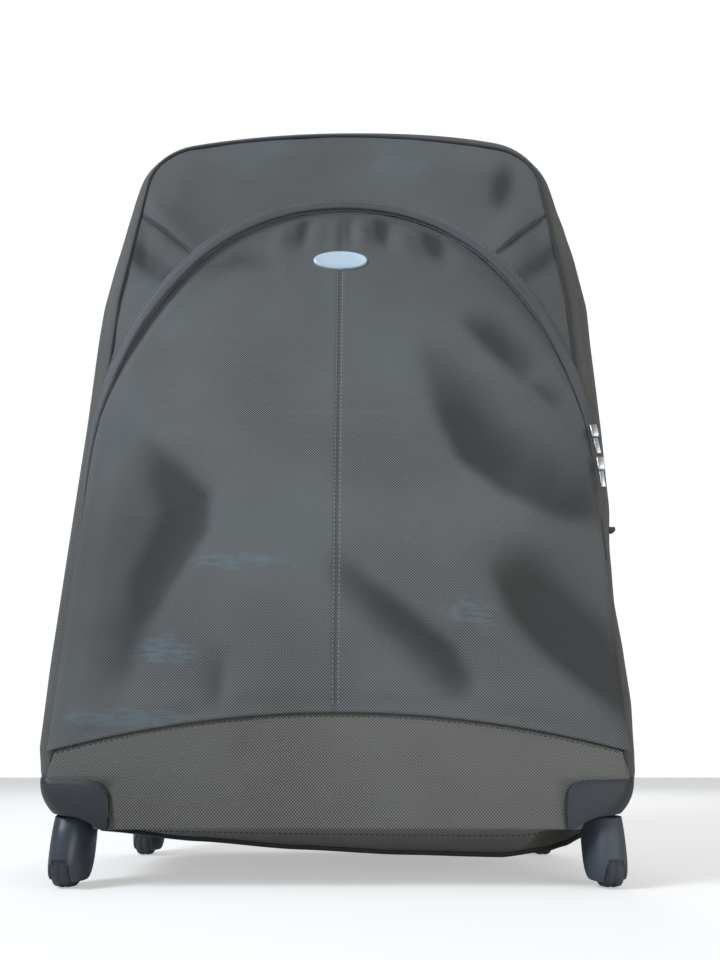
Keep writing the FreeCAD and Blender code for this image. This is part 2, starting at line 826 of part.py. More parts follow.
def build_sliders():
    split = ("split_plane - slider_wide", "split_plane + slider_wide")
    crown = size("crown_radius") + 0.4
    zip_slider("main_zip_a", CROWN, crown, 90 + 10.2, split, 1)
    corner = size("corner_radius") + 0.4
    zip_slider("main_zip_b", mirrored(CORNER), corner, 150.0, split, 1)
    pocket_ring = size("arch_side_radius") + 1.0
    for name, angle in (("pocket_zip_a", 0.9), ("pocket_zip_b", 5.9)):
        node(f"{name}_slider", riding_block(
            ARCH_SIDE, angle, pocket_ring, "slider_wide", "pocket_front - slider_high", "pocket_front + 0.6",
            "-slider_long / 2", "slider_long / 2"))
        node(f"{name}_pull", riding_block(
            ARCH_SIDE, angle, pocket_ring + 1.5, "slider_wide - 3", "pocket_front - 2.2",
            "pocket_front - 0.8", "-slider_long / 2 - pull_gap - pull_long * 0.6",
            "-slider_long / 2 - pull_gap"))


# --- assembly -----------------------------------------------------------------------------


def build():
    build_case()
    build_zip_halves()
    kingpins("rear_kingpins", "caster_rear")
    kingpins("front_kingpins", "caster_front")
    for side in (1, -1):
        guard(side, rear=False)
        guard(side, rear=True)
    build_back_fittings()
    build_trolley()
    build_handles()
    build_packing_straps()
    build_lid_shell()
    build_front_panels()
    build_pocket()
    caster("front_left", -1, "caster_front")
    caster("front_right", 1, "caster_front")
    caster("rear_left", -1, "caster_rear")
    caster("rear_right", 1, "caster_rear")
    build_sliders()


def check_and_write():
    doc.recompute()
    broken = [o.Label for o in doc.Objects if {"Invalid", "Error"} & set(o.State)]
    if broken:
        raise SystemExit(f"failed objects: {broken}")
    os.makedirs("parts", exist_ok=True)
    for label, item in nodes.items():
        shape = item.Shape
        if shape.isNull() or not shape.isValid() or shape.Volume <= 0:
            raise SystemExit(f"bad shape: {label}")
        print(f"{label:24s} solids {len(shape.Solids)}  volume {shape.Volume / 1000:9.2f} cm3")
        shape.exportStep(os.path.join("parts", f"{label}.step"))
    print(len(nodes), "nodes; corner centre", [round(c, 3) for c in CORNER])


build()
check_and_write()
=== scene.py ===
"""Soft-sided four-wheel suitcase: the looks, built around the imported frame."""

import json
import logging
import math
from dataclasses import dataclass
from enum import Enum
from typing import Callable

import bmesh
import bpy
from mathutils import Matrix, Vector, noise

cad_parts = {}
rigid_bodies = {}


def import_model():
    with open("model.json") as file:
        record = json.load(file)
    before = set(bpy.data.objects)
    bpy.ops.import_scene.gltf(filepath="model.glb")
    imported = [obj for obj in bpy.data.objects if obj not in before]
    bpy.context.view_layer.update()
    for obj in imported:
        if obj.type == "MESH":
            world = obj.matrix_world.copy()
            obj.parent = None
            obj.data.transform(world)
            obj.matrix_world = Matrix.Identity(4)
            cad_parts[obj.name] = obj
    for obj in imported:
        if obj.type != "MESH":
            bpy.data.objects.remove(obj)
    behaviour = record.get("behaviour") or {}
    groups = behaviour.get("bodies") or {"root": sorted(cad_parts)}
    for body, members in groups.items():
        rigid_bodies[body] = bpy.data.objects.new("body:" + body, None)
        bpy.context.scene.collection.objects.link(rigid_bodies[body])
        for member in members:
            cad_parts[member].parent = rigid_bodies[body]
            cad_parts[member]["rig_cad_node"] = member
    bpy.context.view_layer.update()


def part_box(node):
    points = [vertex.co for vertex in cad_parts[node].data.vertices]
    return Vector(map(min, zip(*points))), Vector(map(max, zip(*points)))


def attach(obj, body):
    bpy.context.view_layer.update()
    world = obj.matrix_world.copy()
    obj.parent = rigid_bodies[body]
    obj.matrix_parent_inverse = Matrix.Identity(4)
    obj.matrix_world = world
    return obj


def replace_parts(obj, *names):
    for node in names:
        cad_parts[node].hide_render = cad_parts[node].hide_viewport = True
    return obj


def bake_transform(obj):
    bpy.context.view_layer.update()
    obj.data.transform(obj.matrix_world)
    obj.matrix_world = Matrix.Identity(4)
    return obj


log = logging.getLogger("suitcase")

MM = 0.001
Point = tuple[float, float]
Colour = tuple[float, float, float]
Placer = Callable[[float, float], Vector]
Flattener = Callable[[float, float], Point]
BMesh = bmesh.types.BMesh
Piece = bpy.types.Object
Socket = bpy.types.NodeSocket
NodeTree = bpy.types.NodeTree


# --- small helpers ---


def smooth(edge_low: float, edge_high: float, value: float) -> float:
    """A soft step from 0 to 1 between two edges."""
    t = min(1.0, max(0.0, (value - edge_low) / (edge_high - edge_low)))
    return t * t * (3 - 2 * t)


def bell(value: float, width: float) -> float:
    """A soft bump of height 1 about zero."""
    return math.exp(-((value / width) ** 2))


def mix(a: float, b: float, t: float) -> float:
    """A straight blend of two numbers."""
    return a + (b - a) * t


def spread(low: float, high: float, count: int) -> list[float]:
    """Evenly spaced numbers from low to high, with count steps between them."""
    return [mix(low, high, i / count) for i in range(count + 1)]


def spot(x: float, z: float, middle_x: float, middle_z: float, reach_x: float, reach_z: float) -> float:
    """A soft oval of height 1 about a middle, with its own reach each way."""
    return math.exp(-(((x - middle_x) / reach_x) ** 2) - ((z - middle_z) / reach_z) ** 2)


def drift(x: float, y: float, size: float, seed: float) -> float:
    """Slow noise between about -1 and 1, for cloth that isn't quite flat.

    Args:
        x: First place.
        y: Second place.
        size: Width of one lump, in metres.
        seed: Picks another stretch of the noise.

    Returns:
        The noise's value.
    """
    return noise.noise(Vector((x / size, y / size, seed)))


# --- finishes ---


class Slot(Enum):
    """The record's material slots."""

    SHELL = "shell_fabric"
    FLAP = "flap_fabric"
    LINING = "lining_fabric"
    WEBBING = "webbing"
    GUARD = "guard_plastic"
    PLASTIC = "black_plastic"
    TYRE = "tyre"
    STEEL = "steel"
    ZIP_METAL = "zip_metal"
    ZIP_TEETH = "zip_teeth"
    BADGE = "badge_metal"


class Graph:
    """A node tree with short ways to add and join nodes."""

    def __init__(self, tree: NodeTree) -> None:
        """Keeps the tree that the nodes go into."""
        self.tree = tree

    def add(self, kind: str, **settings: object) -> bpy.types.Node:
        """Adds a node and sets its properties.

        Args:
            kind: The node's type.
            settings: Its properties.

        Returns:
            The node.
        """
        node = self.tree.nodes.new(kind)
        for name, value in settings.items():
            setattr(node, name, value)
        return node

    def feed(self, socket: Socket, value: object) -> None:
        """Links a socket to another, or sets its value.

        Args:
            socket: The input.
            value: Another socket, or a plain value.
        """
        if isinstance(value, Socket):
            self.tree.links.new(value, socket)
        else:
            socket.default_value = value

    def math(self, operation: str, *values: object) -> Socket:
        """A maths node's result.

        Args:
            operation: Which sum.
            values: Its inputs, in order.

        Returns:
            The result.
        """
        node = self.add("ShaderNodeMath", operation=operation)
        for socket, value in zip(node.inputs, values):
            self.feed(socket, value)
        return node.outputs[0]

    def noise(self, vector: object, scale: float, detail: float = 3.0) -> Socket:
        """A noise texture's value.

        Args:
            vector: Where it is read.
            scale: Lumps per metre.
            detail: Finer layers.

        Returns:
            The value.
        """
        node = self.add("ShaderNodeTexNoise")
        self.feed(node.inputs["Vector"], vector)
        node.inputs["Scale"].default_value = scale
        node.inputs["Detail"].default_value = detail
        return node.outputs["Fac"]

    def ramp(self, value: object, low: float, high: float) -> Socket:
        """A smooth step of a value between two limits.

        Args:
            value: What is stepped.
            low: Where it is 0.
            high: Where it is 1.

        Returns:
            The step.
        """
        node = self.add("ShaderNodeMapRange", interpolation_type="SMOOTHSTEP")
        self.feed(node.inputs["Value"], value)
        node.inputs["From Min"].default_value = low
        node.inputs["From Max"].default_value = high
        return node.outputs["Result"]

    def blend(self, factor: object, a: object, b: object) -> Socket:
        """A mix of two colours.

        Args:
            factor: From a to b.
            a: First colour.
            b: Second colour.

        Returns:
            The colour.
        """
        node = self.add("ShaderNodeMix", data_type="RGBA")
        self.feed(node.inputs[0], factor)
        for socket, value in ((node.inputs[6], a), (node.inputs[7], b)):
            self.feed(socket, (*value, 1.0) if isinstance(value, tuple) and len(value) == 3 else value)
        return node.outputs[2]

    def bump(self, height: object, strength: float, distance: float, after: object = None) -> Socket:
        """A bump's normal, over another normal if one is given.

        Args:
            height: The relief.
            strength: From 0 to 1.
            distance: Its depth, in metres.
            after: A normal that it lies over.

        Returns:
            The normal.
        """
        node = self.add("ShaderNodeBump")
        node.inputs["Strength"].default_value = strength
        node.inputs["Distance"].default_value = distance
        self.feed(node.inputs["Height"], height)
        if after is not None:
            self.feed(node.inputs["Normal"], after)
        return node.outputs["Normal"]


def new_group(name: str, inputs: dict[str, str], outputs: dict[str, str]) -> tuple[NodeTree, Graph]:
    """A shader node group with named sockets.

    Args:
        name: The group's name.
        inputs: Socket names and types that go in.
        outputs: Socket names and types that come out.

    Returns:
        The group and a graph to fill it with.
    """
    tree = bpy.data.node_groups.new(name, "ShaderNodeTree")
    for socket, kind in inputs.items():
        tree.interface.new_socket(socket, in_out="INPUT", socket_type=kind)
    for socket, kind in outputs.items():
        tree.interface.new_socket(socket, in_out="OUTPUT", socket_type=kind)
    return tree, Graph(tree)


def weave_group() -> NodeTree:
    """Crossed threads on a flat map: their height, and which thread lies on top.

    Returns:
        The group, made once.
    """
    name = "crossed threads"
    if name in bpy.data.node_groups:
        return bpy.data.node_groups[name]
    tree, g = new_group(
        name,
        {"Vector": "NodeSocketVector", "Pitch": "NodeSocketFloat", "Skew": "NodeSocketFloat"},
        {"Height": "NodeSocketFloat", "Over": "NodeSocketFloat"},
    )
    inside, outside = g.add("NodeGroupInput"), g.add("NodeGroupOutput")
    split = g.add("ShaderNodeSeparateXYZ")
    g.feed(split.inputs[0], inside.outputs["Vector"])
    turn = g.math("DIVIDE", math.tau, inside.outputs["Pitch"])
    upward = g.math("MULTIPLY", split.outputs["Y"], inside.outputs["Skew"])
    along = g.math("SINE", g.math("MULTIPLY", split.outputs["X"], turn))
    across = g.math("SINE", g.math("MULTIPLY", upward, turn))
    checker = g.math("MULTIPLY", along, across)
    g.feed(outside.inputs["Over"], g.math("MULTIPLY_ADD", checker, 0.5, 0.5))
    round_threads = g.math("MULTIPLY", g.math("ABSOLUTE", along), g.math("ABSOLUTE", across))
    g.feed(outside.inputs["Height"], g.math("ADD", round_threads, g.math("MULTIPLY", checker, 0.45)))
    return tree


def grime_group() -> NodeTree:
    """Slow patches and fine specks over a solid, from its own coordinates.

    Returns:
        The group, made once.
    """
    name = "patches and specks"
    if name in bpy.data.node_groups:
        return bpy.data.node_groups[name]
    tree, g = new_group(
        name,
        {"Vector": "NodeSocketVector"},
        {"Patches": "NodeSocketFloat", "Specks": "NodeSocketFloat", "Grain": "NodeSocketFloat"},
    )
    inside, outside = g.add("NodeGroupInput"), g.add("NodeGroupOutput")
    place = inside.outputs["Vector"]
    g.feed(outside.inputs["Patches"], g.ramp(g.noise(place, 7.0, 4.0), 0.35, 0.68))
    g.feed(outside.inputs["Specks"], g.ramp(g.noise(place, 160.0, 2.0), 0.66, 0.80))
    g.feed(outside.inputs["Grain"], g.noise(place, 900.0, 2.0))
    return tree


def worn_group() -> NodeTree:
    """A worn oval with a ragged edge about one place.

    Returns:
        The group, made once.
    """
    name = "worn oval"
    if name in bpy.data.node_groups:
        return bpy.data.node_groups[name]
    tree, g = new_group(
        name,
        {"Vector": "NodeSocketVector", "Centre": "NodeSocketVector", "Reach": "NodeSocketVector"},
        {"Mask": "NodeSocketFloat"},
    )
    inside, outside = g.add("NodeGroupInput"), g.add("NodeGroupOutput")
    away = g.add("ShaderNodeVectorMath", operation="SUBTRACT")
    g.feed(away.inputs[0], inside.outputs["Vector"])
    g.feed(away.inputs[1], inside.outputs["Centre"])
    scaled = g.add("ShaderNodeVectorMath", operation="DIVIDE")
    g.feed(scaled.inputs[0], away.outputs[0])
    g.feed(scaled.inputs[1], inside.outputs["Reach"])
    length = g.add("ShaderNodeVectorMath", operation="LENGTH")
    g.feed(length.inputs[0], scaled.outputs[0])
    ragged = g.math("MULTIPLY_ADD", g.noise(inside.outputs["Vector"], 60.0, 4.0), 1.5, -0.75)
    edge = g.math("ADD", length.outputs["Value"], ragged)
    g.feed(outside.inputs["Mask"], g.ramp(g.math("SUBTRACT", 1.0, edge), 0.0, 0.5))
    return tree


class Finish:
    """A material with a Principled shader, made once and kept by name."""

    name: str

    def material(self) -> bpy.types.Material:
        """The finish's material, made the first time it is asked for.

        Returns:
            The material.
        """
        kept = bpy.data.materials.get(self.name)
        if kept is not None:
            return kept
        material = bpy.data.materials.new(self.name)
        material.use_nodes = True
        graph = Graph(material.node_tree)
        shader = material.node_tree.nodes["Principled BSDF"]
        self.paint(graph, shader.inputs)
        return material

    def paint(self, g: Graph, shader: object) -> None:
        """Fills the shader's sockets; each finish has its own."""
        raise NotImplementedError

    @staticmethod
    def place(g: Graph) -> Socket:
        """The piece's own coordinates, in metres."""
        return g.add("ShaderNodeTexCoord").outputs["Object"]

    @staticmethod
    def group(g: Graph, tree: NodeTree, **values: object) -> bpy.types.Node:
        """Places a node group with its own values.

        Args:
            g: The material's graph.
            tree: The group.
            values: Its inputs.

        Returns:
            The node.
        """
        node = g.add("ShaderNodeGroup", node_tree=tree)
        for name, value in values.items():
            g.feed(node.inputs[name], value)
        return node


# Near-black colour that creases, seams and darkened regions are blended towards: painted shade.
PAINTED_SHADE_COLOUR: Colour = (0.012, 0.013, 0.014)
LINT_GREY: Colour = (0.30, 0.30, 0.29)
WORN_DEPTH = 0.06


@dataclass(frozen=True)
class WornPatch:
    """A place where the cloth's face is worn to a bluer tone."""

    x: float
    z: float
    reach_x: float
    reach_z: float
    strength: float = 1.0


@dataclass(frozen=True)
class WovenCloth(Finish):
    """Two-tone ballistic cloth on a flat map that is measured in metres."""

    name: str
    dark: Colour
    light: Colour
    worn: Colour
    pitch: float = 2.5 * MM
    skew: float = 1.0
    depth: float = 0.5
    roughness: float = 0.62
    sheen: float = 0.25
    patches: tuple[WornPatch, ...] = ()

    def paint(self, g: Graph, shader: object) -> None:
        """Threads, slow tone changes, worn places, painted shade in folds and seams, and a soft sheen.

        Args:
            g: The material's graph.
            shader: The shader's inputs.
        """
        flat = g.add("ShaderNodeUVMap", uv_map="flat").outputs["UV"]
        place = self.place(g)
        threads = self.group(g, weave_group(), Vector=flat, Pitch=self.pitch, Skew=self.skew)
        grime = self.group(g, grime_group(), Vector=place)
        cloth = g.blend(g.ramp(threads.outputs["Over"], 0.25, 0.75), self.dark, self.light)
        tone = tuple(mix(a, b, 0.45) for a, b in zip(self.light, self.worn))
        cloth = g.blend(g.math("MULTIPLY", grime.outputs["Patches"], 0.30), cloth, tone)
        for patch in self.patches:
            worn = self.group(
                g, worn_group(), Vector=place,
                Centre=(patch.x, place_front(), patch.z), Reach=(patch.reach_x, WORN_DEPTH, patch.reach_z),
            )
            drawn = g.add("ShaderNodeVectorMath", operation="MULTIPLY")
            g.feed(drawn.inputs[0], place)
            g.feed(drawn.inputs[1], (0.30, 1.0, 1.5))
            streak = g.ramp(g.noise(drawn.outputs[0], 230.0, 2.0), 0.34, 0.60)
            mask = g.math("MULTIPLY", g.math("MULTIPLY", worn.outputs["Mask"], streak), 0.75 * patch.strength)
            cloth = g.blend(mask, cloth, self.worn)
        lint = g.math("MULTIPLY", grime.outputs["Specks"], 0.10)
        cloth = g.blend(lint, cloth, LINT_GREY)
        # Painted shade: the per-vertex fold attribute darkens the colour towards near-black in creases, seams
        # and darkened regions.
        fold = g.add("ShaderNodeAttribute", attribute_name="fold").outputs["Fac"]
        painted_shade = g.math("MINIMUM", g.math("MULTIPLY", fold, 0.80), 0.85)
        g.feed(shader["Base Color"], g.blend(painted_shade, cloth, PAINTED_SHADE_COLOUR))
        over = threads.outputs["Over"]
        g.feed(shader["Roughness"], g.math("MULTIPLY_ADD", over, -0.12, self.roughness + 0.06))
        shader["Specular IOR Level"].default_value = 0.42
        shader["Sheen Weight"].default_value = self.sheen
        shader["Sheen Roughness"].default_value = 0.45
        shader["Sheen Tint"].default_value = (0.75, 0.82, 0.95, 1.0)
        fine = g.bump(grime.outputs["Grain"], 0.15, 0.2 * MM)
        g.feed(shader["Normal"], g.bump(threads.outputs["Height"], self.depth, 0.35 * MM, fine))


@dataclass(frozen=True)
class Twill(Finish):
    """Smooth cloth with fine slanting ribs, for flaps, linings, piping and webbing."""

    name: str
    colour: Colour
    accent: Colour
    pitch: float = 1.2 * MM
    roughness: float = 0.55
    sheen: float = 0.3

    def paint(self, g: Graph, shader: object) -> None:
        """Fine ribs and slow tone changes.

        Args:
            g: The material's graph.
            shader: The shader's inputs.
        """
        place = self.place(g)
        split = g.add("ShaderNodeSeparateXYZ")
        g.feed(split.inputs[0], place)
        slant = g.math("ADD", g.math("ADD", split.outputs["X"], split.outputs["Y"]), split.outputs["Z"])
        rib = g.math("SINE", g.math("MULTIPLY", slant, math.tau / self.pitch))
        grime = self.group(g, grime_group(), Vector=place)
        cloth = g.blend(g.math("MULTIPLY", grime.outputs["Patches"], 0.5), self.colour, self.accent)
        g.feed(shader["Base Color"], g.blend(g.math("MULTIPLY_ADD", rib, 0.12, 0.12), cloth, self.accent))
        g.feed(shader["Roughness"], g.math("MULTIPLY_ADD", grime.outputs["Patches"], 0.12, self.roughness))
        shader["Sheen Weight"].default_value = self.sheen
        shader["Sheen Roughness"].default_value = 0.4
        g.feed(shader["Normal"], g.bump(rib, 0.25, 0.15 * MM))


@dataclass(frozen=True)
class Moulded(Finish):
    """Moulded plastic or urethane with a fine grain and rubbed, scuffed places."""

    name: str
    colour: Colour
    scuffed: Colour
    roughness: float = 0.42
    grain: float = 0.12
    scuffs: float = 0.35

    def paint(self, g: Graph, shader: object) -> None:
        """Grain, scuff streaks and dull patches.

        Args:
            g: The material's graph.
            shader: The shader's inputs.
        """
        place = self.place(g)
        grime = self.group(g, grime_group(), Vector=place)
        stretch = g.add("ShaderNodeMapping")
        stretch.inputs["Scale"].default_value = (40.0, 40.0, 260.0)
        g.feed(stretch.inputs["Vector"], place)
        streaks = g.ramp(g.noise(stretch.outputs[0], 1.0, 5.0), 0.60, 0.78)
        dull = g.blend(g.math("MULTIPLY", grime.outputs["Patches"], 0.4), self.colour, self.scuffed)
        mask = g.math("MULTIPLY", streaks, self.scuffs)
        specks = g.math("MULTIPLY", grime.outputs["Specks"], self.scuffs * 0.8)
        g.feed(shader["Base Color"], g.blend(g.math("MAXIMUM", mask, specks), dull, self.scuffed))
        g.feed(shader["Roughness"], g.math("MULTIPLY_ADD", grime.outputs["Patches"], 0.18, self.roughness))
        g.feed(shader["Normal"], g.bump(grime.outputs["Grain"], self.grain, 0.3 * MM))


@dataclass(frozen=True)
class Metal(Finish):
    """Bright or satin metal with hairlines and small wear."""

    name: str
    colour: Colour
    roughness: float = 0.25
    hairline: float = 0.1
    metallic: float = 1.0

    def paint(self, g: Graph, shader: object) -> None:
        """Hairlines along the length and a rubbed roughness.

        Args:
            g: The material's graph.
            shader: The shader's inputs.
        """
        place = self.place(g)
        stretch = g.add("ShaderNodeMapping")
        stretch.inputs["Scale"].default_value = (60.0, 900.0, 900.0)
        g.feed(stretch.inputs["Vector"], place)
        lines = g.noise(stretch.outputs[0], 1.0, 2.0)
        grime = self.group(g, grime_group(), Vector=place)
        worn = tuple(0.72 * c for c in self.colour)
        patchy = g.math("MULTIPLY", grime.outputs["Patches"], 0.5)
        g.feed(shader["Base Color"], g.blend(patchy, self.colour, worn))
        shader["Metallic"].default_value = self.metallic
        g.feed(shader["Roughness"], g.math("MULTIPLY_ADD", lines, self.hairline, self.roughness))
        g.feed(shader["Normal"], g.bump(lines, 0.08, 0.1 * MM))


PATCHES = (
    WornPatch(-0.094, 0.256, 0.050, 0.010),
    WornPatch(-0.144, 0.178, 0.034, 0.020),
    WornPatch(0.113, 0.211, 0.032, 0.020, 0.8),
    WornPatch(-0.165, 0.126, 0.075, 0.008, 0.9),
    WornPatch(0.060, 0.715, 0.045, 0.018, 0.5),
)

SHELL = WovenCloth(
    "shell cloth", (0.014, 0.016, 0.018), (0.182, 0.191, 0.193), (0.115, 0.168, 0.200), patches=PATCHES)
KICK = WovenCloth("kick cloth", (0.018, 0.018, 0.017), (0.248, 0.246, 0.230), (0.14, 0.165, 0.17), depth=0.8)
SIDE = WovenCloth("side cloth", (0.022, 0.022, 0.021), (0.115, 0.113, 0.102), (0.12, 0.13, 0.13))
BELLY = WovenCloth("belly cloth", (0.024, 0.022, 0.014), (0.120, 0.110, 0.074), (0.12, 0.12, 0.10))
FLAP = Twill("flap twill", (0.052, 0.058, 0.067), (0.092, 0.102, 0.116))
PIPING = Twill("piping tape", (0.014, 0.015, 0.019), (0.030, 0.034, 0.044), pitch=0.9 * MM)
LINING = Twill("lining", (0.13, 0.135, 0.15), (0.18, 0.185, 0.20), pitch=0.8 * MM)
WEBBING = Twill("webbing", (0.018, 0.019, 0.021), (0.045, 0.047, 0.052), pitch=1.6 * MM)
THREAD = Twill("seam thread", (0.22, 0.24, 0.24), (0.32, 0.33, 0.33), pitch=0.4 * MM)
DARK_THREAD = Twill("dark thread", (0.020, 0.021, 0.022), (0.05, 0.052, 0.055), pitch=0.4 * MM)
LEATHER = Moulded("worn leather", (0.070, 0.040, 0.022), (0.15, 0.10, 0.06), 0.6, 0.5, 0.5)
TEETH = Moulded("zip coil", (0.010, 0.011, 0.014), (0.035, 0.038, 0.045), 0.35, 0.05, 0.2)
GUARD = Moulded("guard plastic", (0.014, 0.017, 0.023), (0.058, 0.066, 0.080), 0.42, 0.12, 0.35)
HOOD = Moulded("caster hood", (0.036, 0.046, 0.064), (0.098, 0.116, 0.146), 0.38, 0.10, 0.30)
PLASTIC = Moulded("black plastic", (0.016, 0.017, 0.019), (0.055, 0.057, 0.062), 0.38, 0.10, 0.2)
TYRE = Moulded("tyre urethane", (0.032, 0.036, 0.046), (0.115, 0.120, 0.130), 0.52, 0.3, 0.5)
ALUMINIUM = Metal("tube aluminium", (0.62, 0.63, 0.65), 0.26, 0.12)
STEEL = Metal("plain steel", (0.45, 0.45, 0.46), 0.32, 0.12)
CHROME = Metal("zip chrome", (0.56, 0.58, 0.62), 0.28, 0.10)
# The badge's pale blue colour is as bright as its reflection looks: painted reflection on a barely metallic
# surface.
BADGE = Metal("badge silver, painted reflection", (0.60, 0.76, 0.90), 0.36, 0.08, 0.20)


# --- the bag's outline ---


@dataclass(frozen=True)
class Outline:
    """The bag's silhouette: upright and leaning sides, round corners and a bowed crown."""

    half_width: float
    crown_top: float
    foot: float
    waist: float = 0.540
    lean: float = math.radians(5.0)
    corner_radius: float = 0.068
    crown_radius: float = 0.820

    @property
    def corner(self) -> Point:
        """The right corner arc's centre, tangent to the leaning side and the crown.

        Returns:
            The centre's x and z.
        """
        inward = (-math.cos(self.lean), -math.sin(self.lean))
        up = (-math.sin(self.lean), math.cos(self.lean))
        reach = self.crown_radius - self.corner_radius
        base = self.crown_top - self.crown_radius
        fx = self.half_width + inward[0] * self.corner_radius
        fz = self.waist + inward[1] * self.corner_radius - base
        along = fx * up[0] + fz * up[1]
        run = -along + math.sqrt(along**2 - (fx**2 + fz**2 - reach**2))
        return fx + run * up[0], fz + run * up[1] + base

    @property
    def crown_angle(self) -> float:
        """The angle at which the corner meets the crown."""
        x, z = self.corner
        return math.atan2(z - (self.crown_top - self.crown_radius), x)

    def inset(self, x: float, z: float) -> tuple[float, float, float]:
        """How far a place lies inside the outline, and the way out.

        Args:
            x: Place across.
            z: Height.

        Returns:
            The distance inside, and the outward direction's x and z.
        """
        side = 1.0 if x >= 0 else -1.0
        ax = abs(x)
        cx, cz = self.corner
        angle = math.atan2(z - cz, ax - cx)
        if z < self.waist:
            return self.half_width - ax, side, 0.0
        if angle < self.lean or (z < cz and ax > cx):
            nx, nz = math.cos(self.lean), math.sin(self.lean)
            return (self.half_width - ax) * nx - (z - self.waist) * nz, side * nx, nz
        if angle < self.crown_angle:
            dx, dz = ax - cx, z - cz
            far = math.hypot(dx, dz) or 1e-9
            return self.corner_radius - far, side * dx / far, dz / far
        base = self.crown_top - self.crown_radius
        far = math.hypot(ax, z - base)
        return self.crown_radius - far, side * ax / far, (z - base) / far

    def half_path(self) -> list[tuple[str, float]]:
        """The right half's stretches in order, with their lengths.

        Returns:
            Each stretch's name and length.
        """
        _, cz = self.corner
        start_z = cz + self.corner_radius * math.sin(self.lean)
        return [
            ("upright", self.waist - self.foot),
            ("leaning", (start_z - self.waist) / math.cos(self.lean)),
            ("corner", self.corner_radius * (self.crown_angle - self.lean)),
            ("crown", self.crown_radius * (math.pi / 2 - self.crown_angle)),
        ]

    def at(self, s: float) -> tuple[float, float, float, float]:
        """A place on the outline.

        Args:
            s: From 0 at the right foot to 1 at the left foot.

        Returns:
            x, z and the outward direction's x and z.
        """
        half = self.half_path()
        total = sum(length for _, length in half)
        side = 1.0 if s <= 0.5 else -1.0
        run = (s if s <= 0.5 else 1.0 - s) * 2 * total
        for kind, length in half:
            if run <= length or kind == "crown":
                x, z, nx, nz = self._stretch(kind, run)
                return side * x, z, side * nx, nz
            run -= length
        raise ValueError(s)

    def _stretch(self, kind: str, run: float) -> tuple[float, float, float, float]:
        """A place on one stretch of the right half, run metres along it.

        Args:
            kind: The stretch's name.
            run: Metres along it.

        Returns:
            x, z and the outward direction's x and z.
        """
        cx, cz = self.corner
        if kind == "upright":
            return self.half_width, self.foot + run, 1.0, 0.0
        if kind == "leaning":
            nx, nz = math.cos(self.lean), math.sin(self.lean)
            return self.half_width - run * nz, self.waist + run * nx, nx, nz
        if kind == "corner":
            angle = self.lean + run / self.corner_radius
            nx, nz = math.cos(angle), math.sin(angle)
            return cx + self.corner_radius * nx, cz + self.corner_radius * nz, nx, nz
        angle = self.crown_angle + run / self.crown_radius
        nx, nz = math.cos(angle), math.sin(angle)
        return self.crown_radius * nx, self.crown_top - self.crown_radius + self.crown_radius * nz, nx, nz

    @property
    def length(self) -> float:
        """The whole outline's length from foot to foot."""
        return 2 * sum(length for _, length in self.half_path())


@dataclass(frozen=True)
class Arch:
    """The pocket's three-centred arch, with straight feet."""

    top_centre: float = 0.452
    top_radius: float = 0.200
    side_radius: float = 0.380
    side_height: float = 0.344
    foot: float = 0.101

    @property
    def side_centre(self) -> float:
        """How far the right side arc's centre lies left of the middle, as a negative x."""
        spread = self.side_radius - self.top_radius
        return -math.sqrt(spread**2 - (self.top_centre - self.side_height) ** 2)

    @property
    def join(self) -> float:
        """The angle at which the side arc meets the top arc."""
        return math.asin((self.top_centre - self.side_height) / (self.side_radius - self.top_radius))

    @property
    def half_width(self) -> float:
        """Half the pocket's width at its feet."""
        return self.side_centre + self.side_radius

    def top_at(self, x: float) -> float:
        """The arch's height over a place across.

        Args:
            x: Place across.

        Returns:
            The height, in metres.
        """
        ax = min(abs(x), self.half_width)
        join_x = self.top_radius * math.cos(self.join)
        if ax <= join_x:
            return self.top_centre + math.sqrt(self.top_radius**2 - ax**2)
        return self.side_height + math.sqrt(max(0.0, self.side_radius**2 - (ax - self.side_centre) ** 2))

    def away(self, x: float, z: float) -> float:
        """How far a place lies outside the arch; less than 0 is on the pocket.

        Args:
            x: Place across.
            z: Height.

        Returns:
            The distance, in metres.
        """
        ax = abs(x)
        if z < self.side_height:
            return ax - self.half_width
        if math.atan2(z - self.top_centre, ax) > self.join:
            return math.hypot(ax, z - self.top_centre) - self.top_radius
        return math.hypot(ax - self.side_centre, z - self.side_height) - self.side_radius

    def at(self, s: float, foot: float | None = None) -> tuple[float, float, float, float]:
        """A place on the arch.

        Args:
            s: From 0 at the right foot to 1 at the left foot.
            foot: The height of the feet, if not the pocket's own.

        Returns:
            x, z and the outward direction's x and z.
        """
        base = self.foot if foot is None else foot
        lengths = self.lengths(base)
        side = 1.0 if s <= 0.5 else -1.0
        run = (s if s <= 0.5 else 1.0 - s) * 2 * sum(lengths)
        if run <= lengths[0]:
            return side * self.half_width, base + run, side, 0.0
        run -= lengths[0]
        if run <= lengths[1]:
            angle = run / self.side_radius
            nx, nz = math.cos(angle), math.sin(angle)
            x, z = self.side_centre + self.side_radius * nx, self.side_height + self.side_radius * nz
            return side * x, z, side * nx, nz
        angle = self.join + (run - lengths[1]) / self.top_radius
        nx, nz = math.cos(angle), math.sin(angle)
        return side * self.top_radius * nx, self.top_centre + self.top_radius * nz, side * nx, nz

    def lengths(self, base: float) -> tuple[float, float, float]:
        """The lengths of the right half's straight, side and top stretches."""
        return (
            self.side_height - base,
            self.side_radius * self.join,
            self.top_radius * (math.pi / 2 - self.join),
        )


def along_table(table: tuple[Point, ...], at: float) -> float:
    """A smooth line through a table of places and values.

    Args:
        table: Places and their values, in order.
        at: The place asked for.

    Returns:
        The value there.
    """
    if at <= table[0][0]:
        return table[0][1]
    for (a, low), (b, high) in zip(table, table[1:]):
        if at <= b:
            return mix(low, high, smooth(a, b, at) * 0.5 + 0.5 * (at - a) / (b - a))
    return table[-1][1]


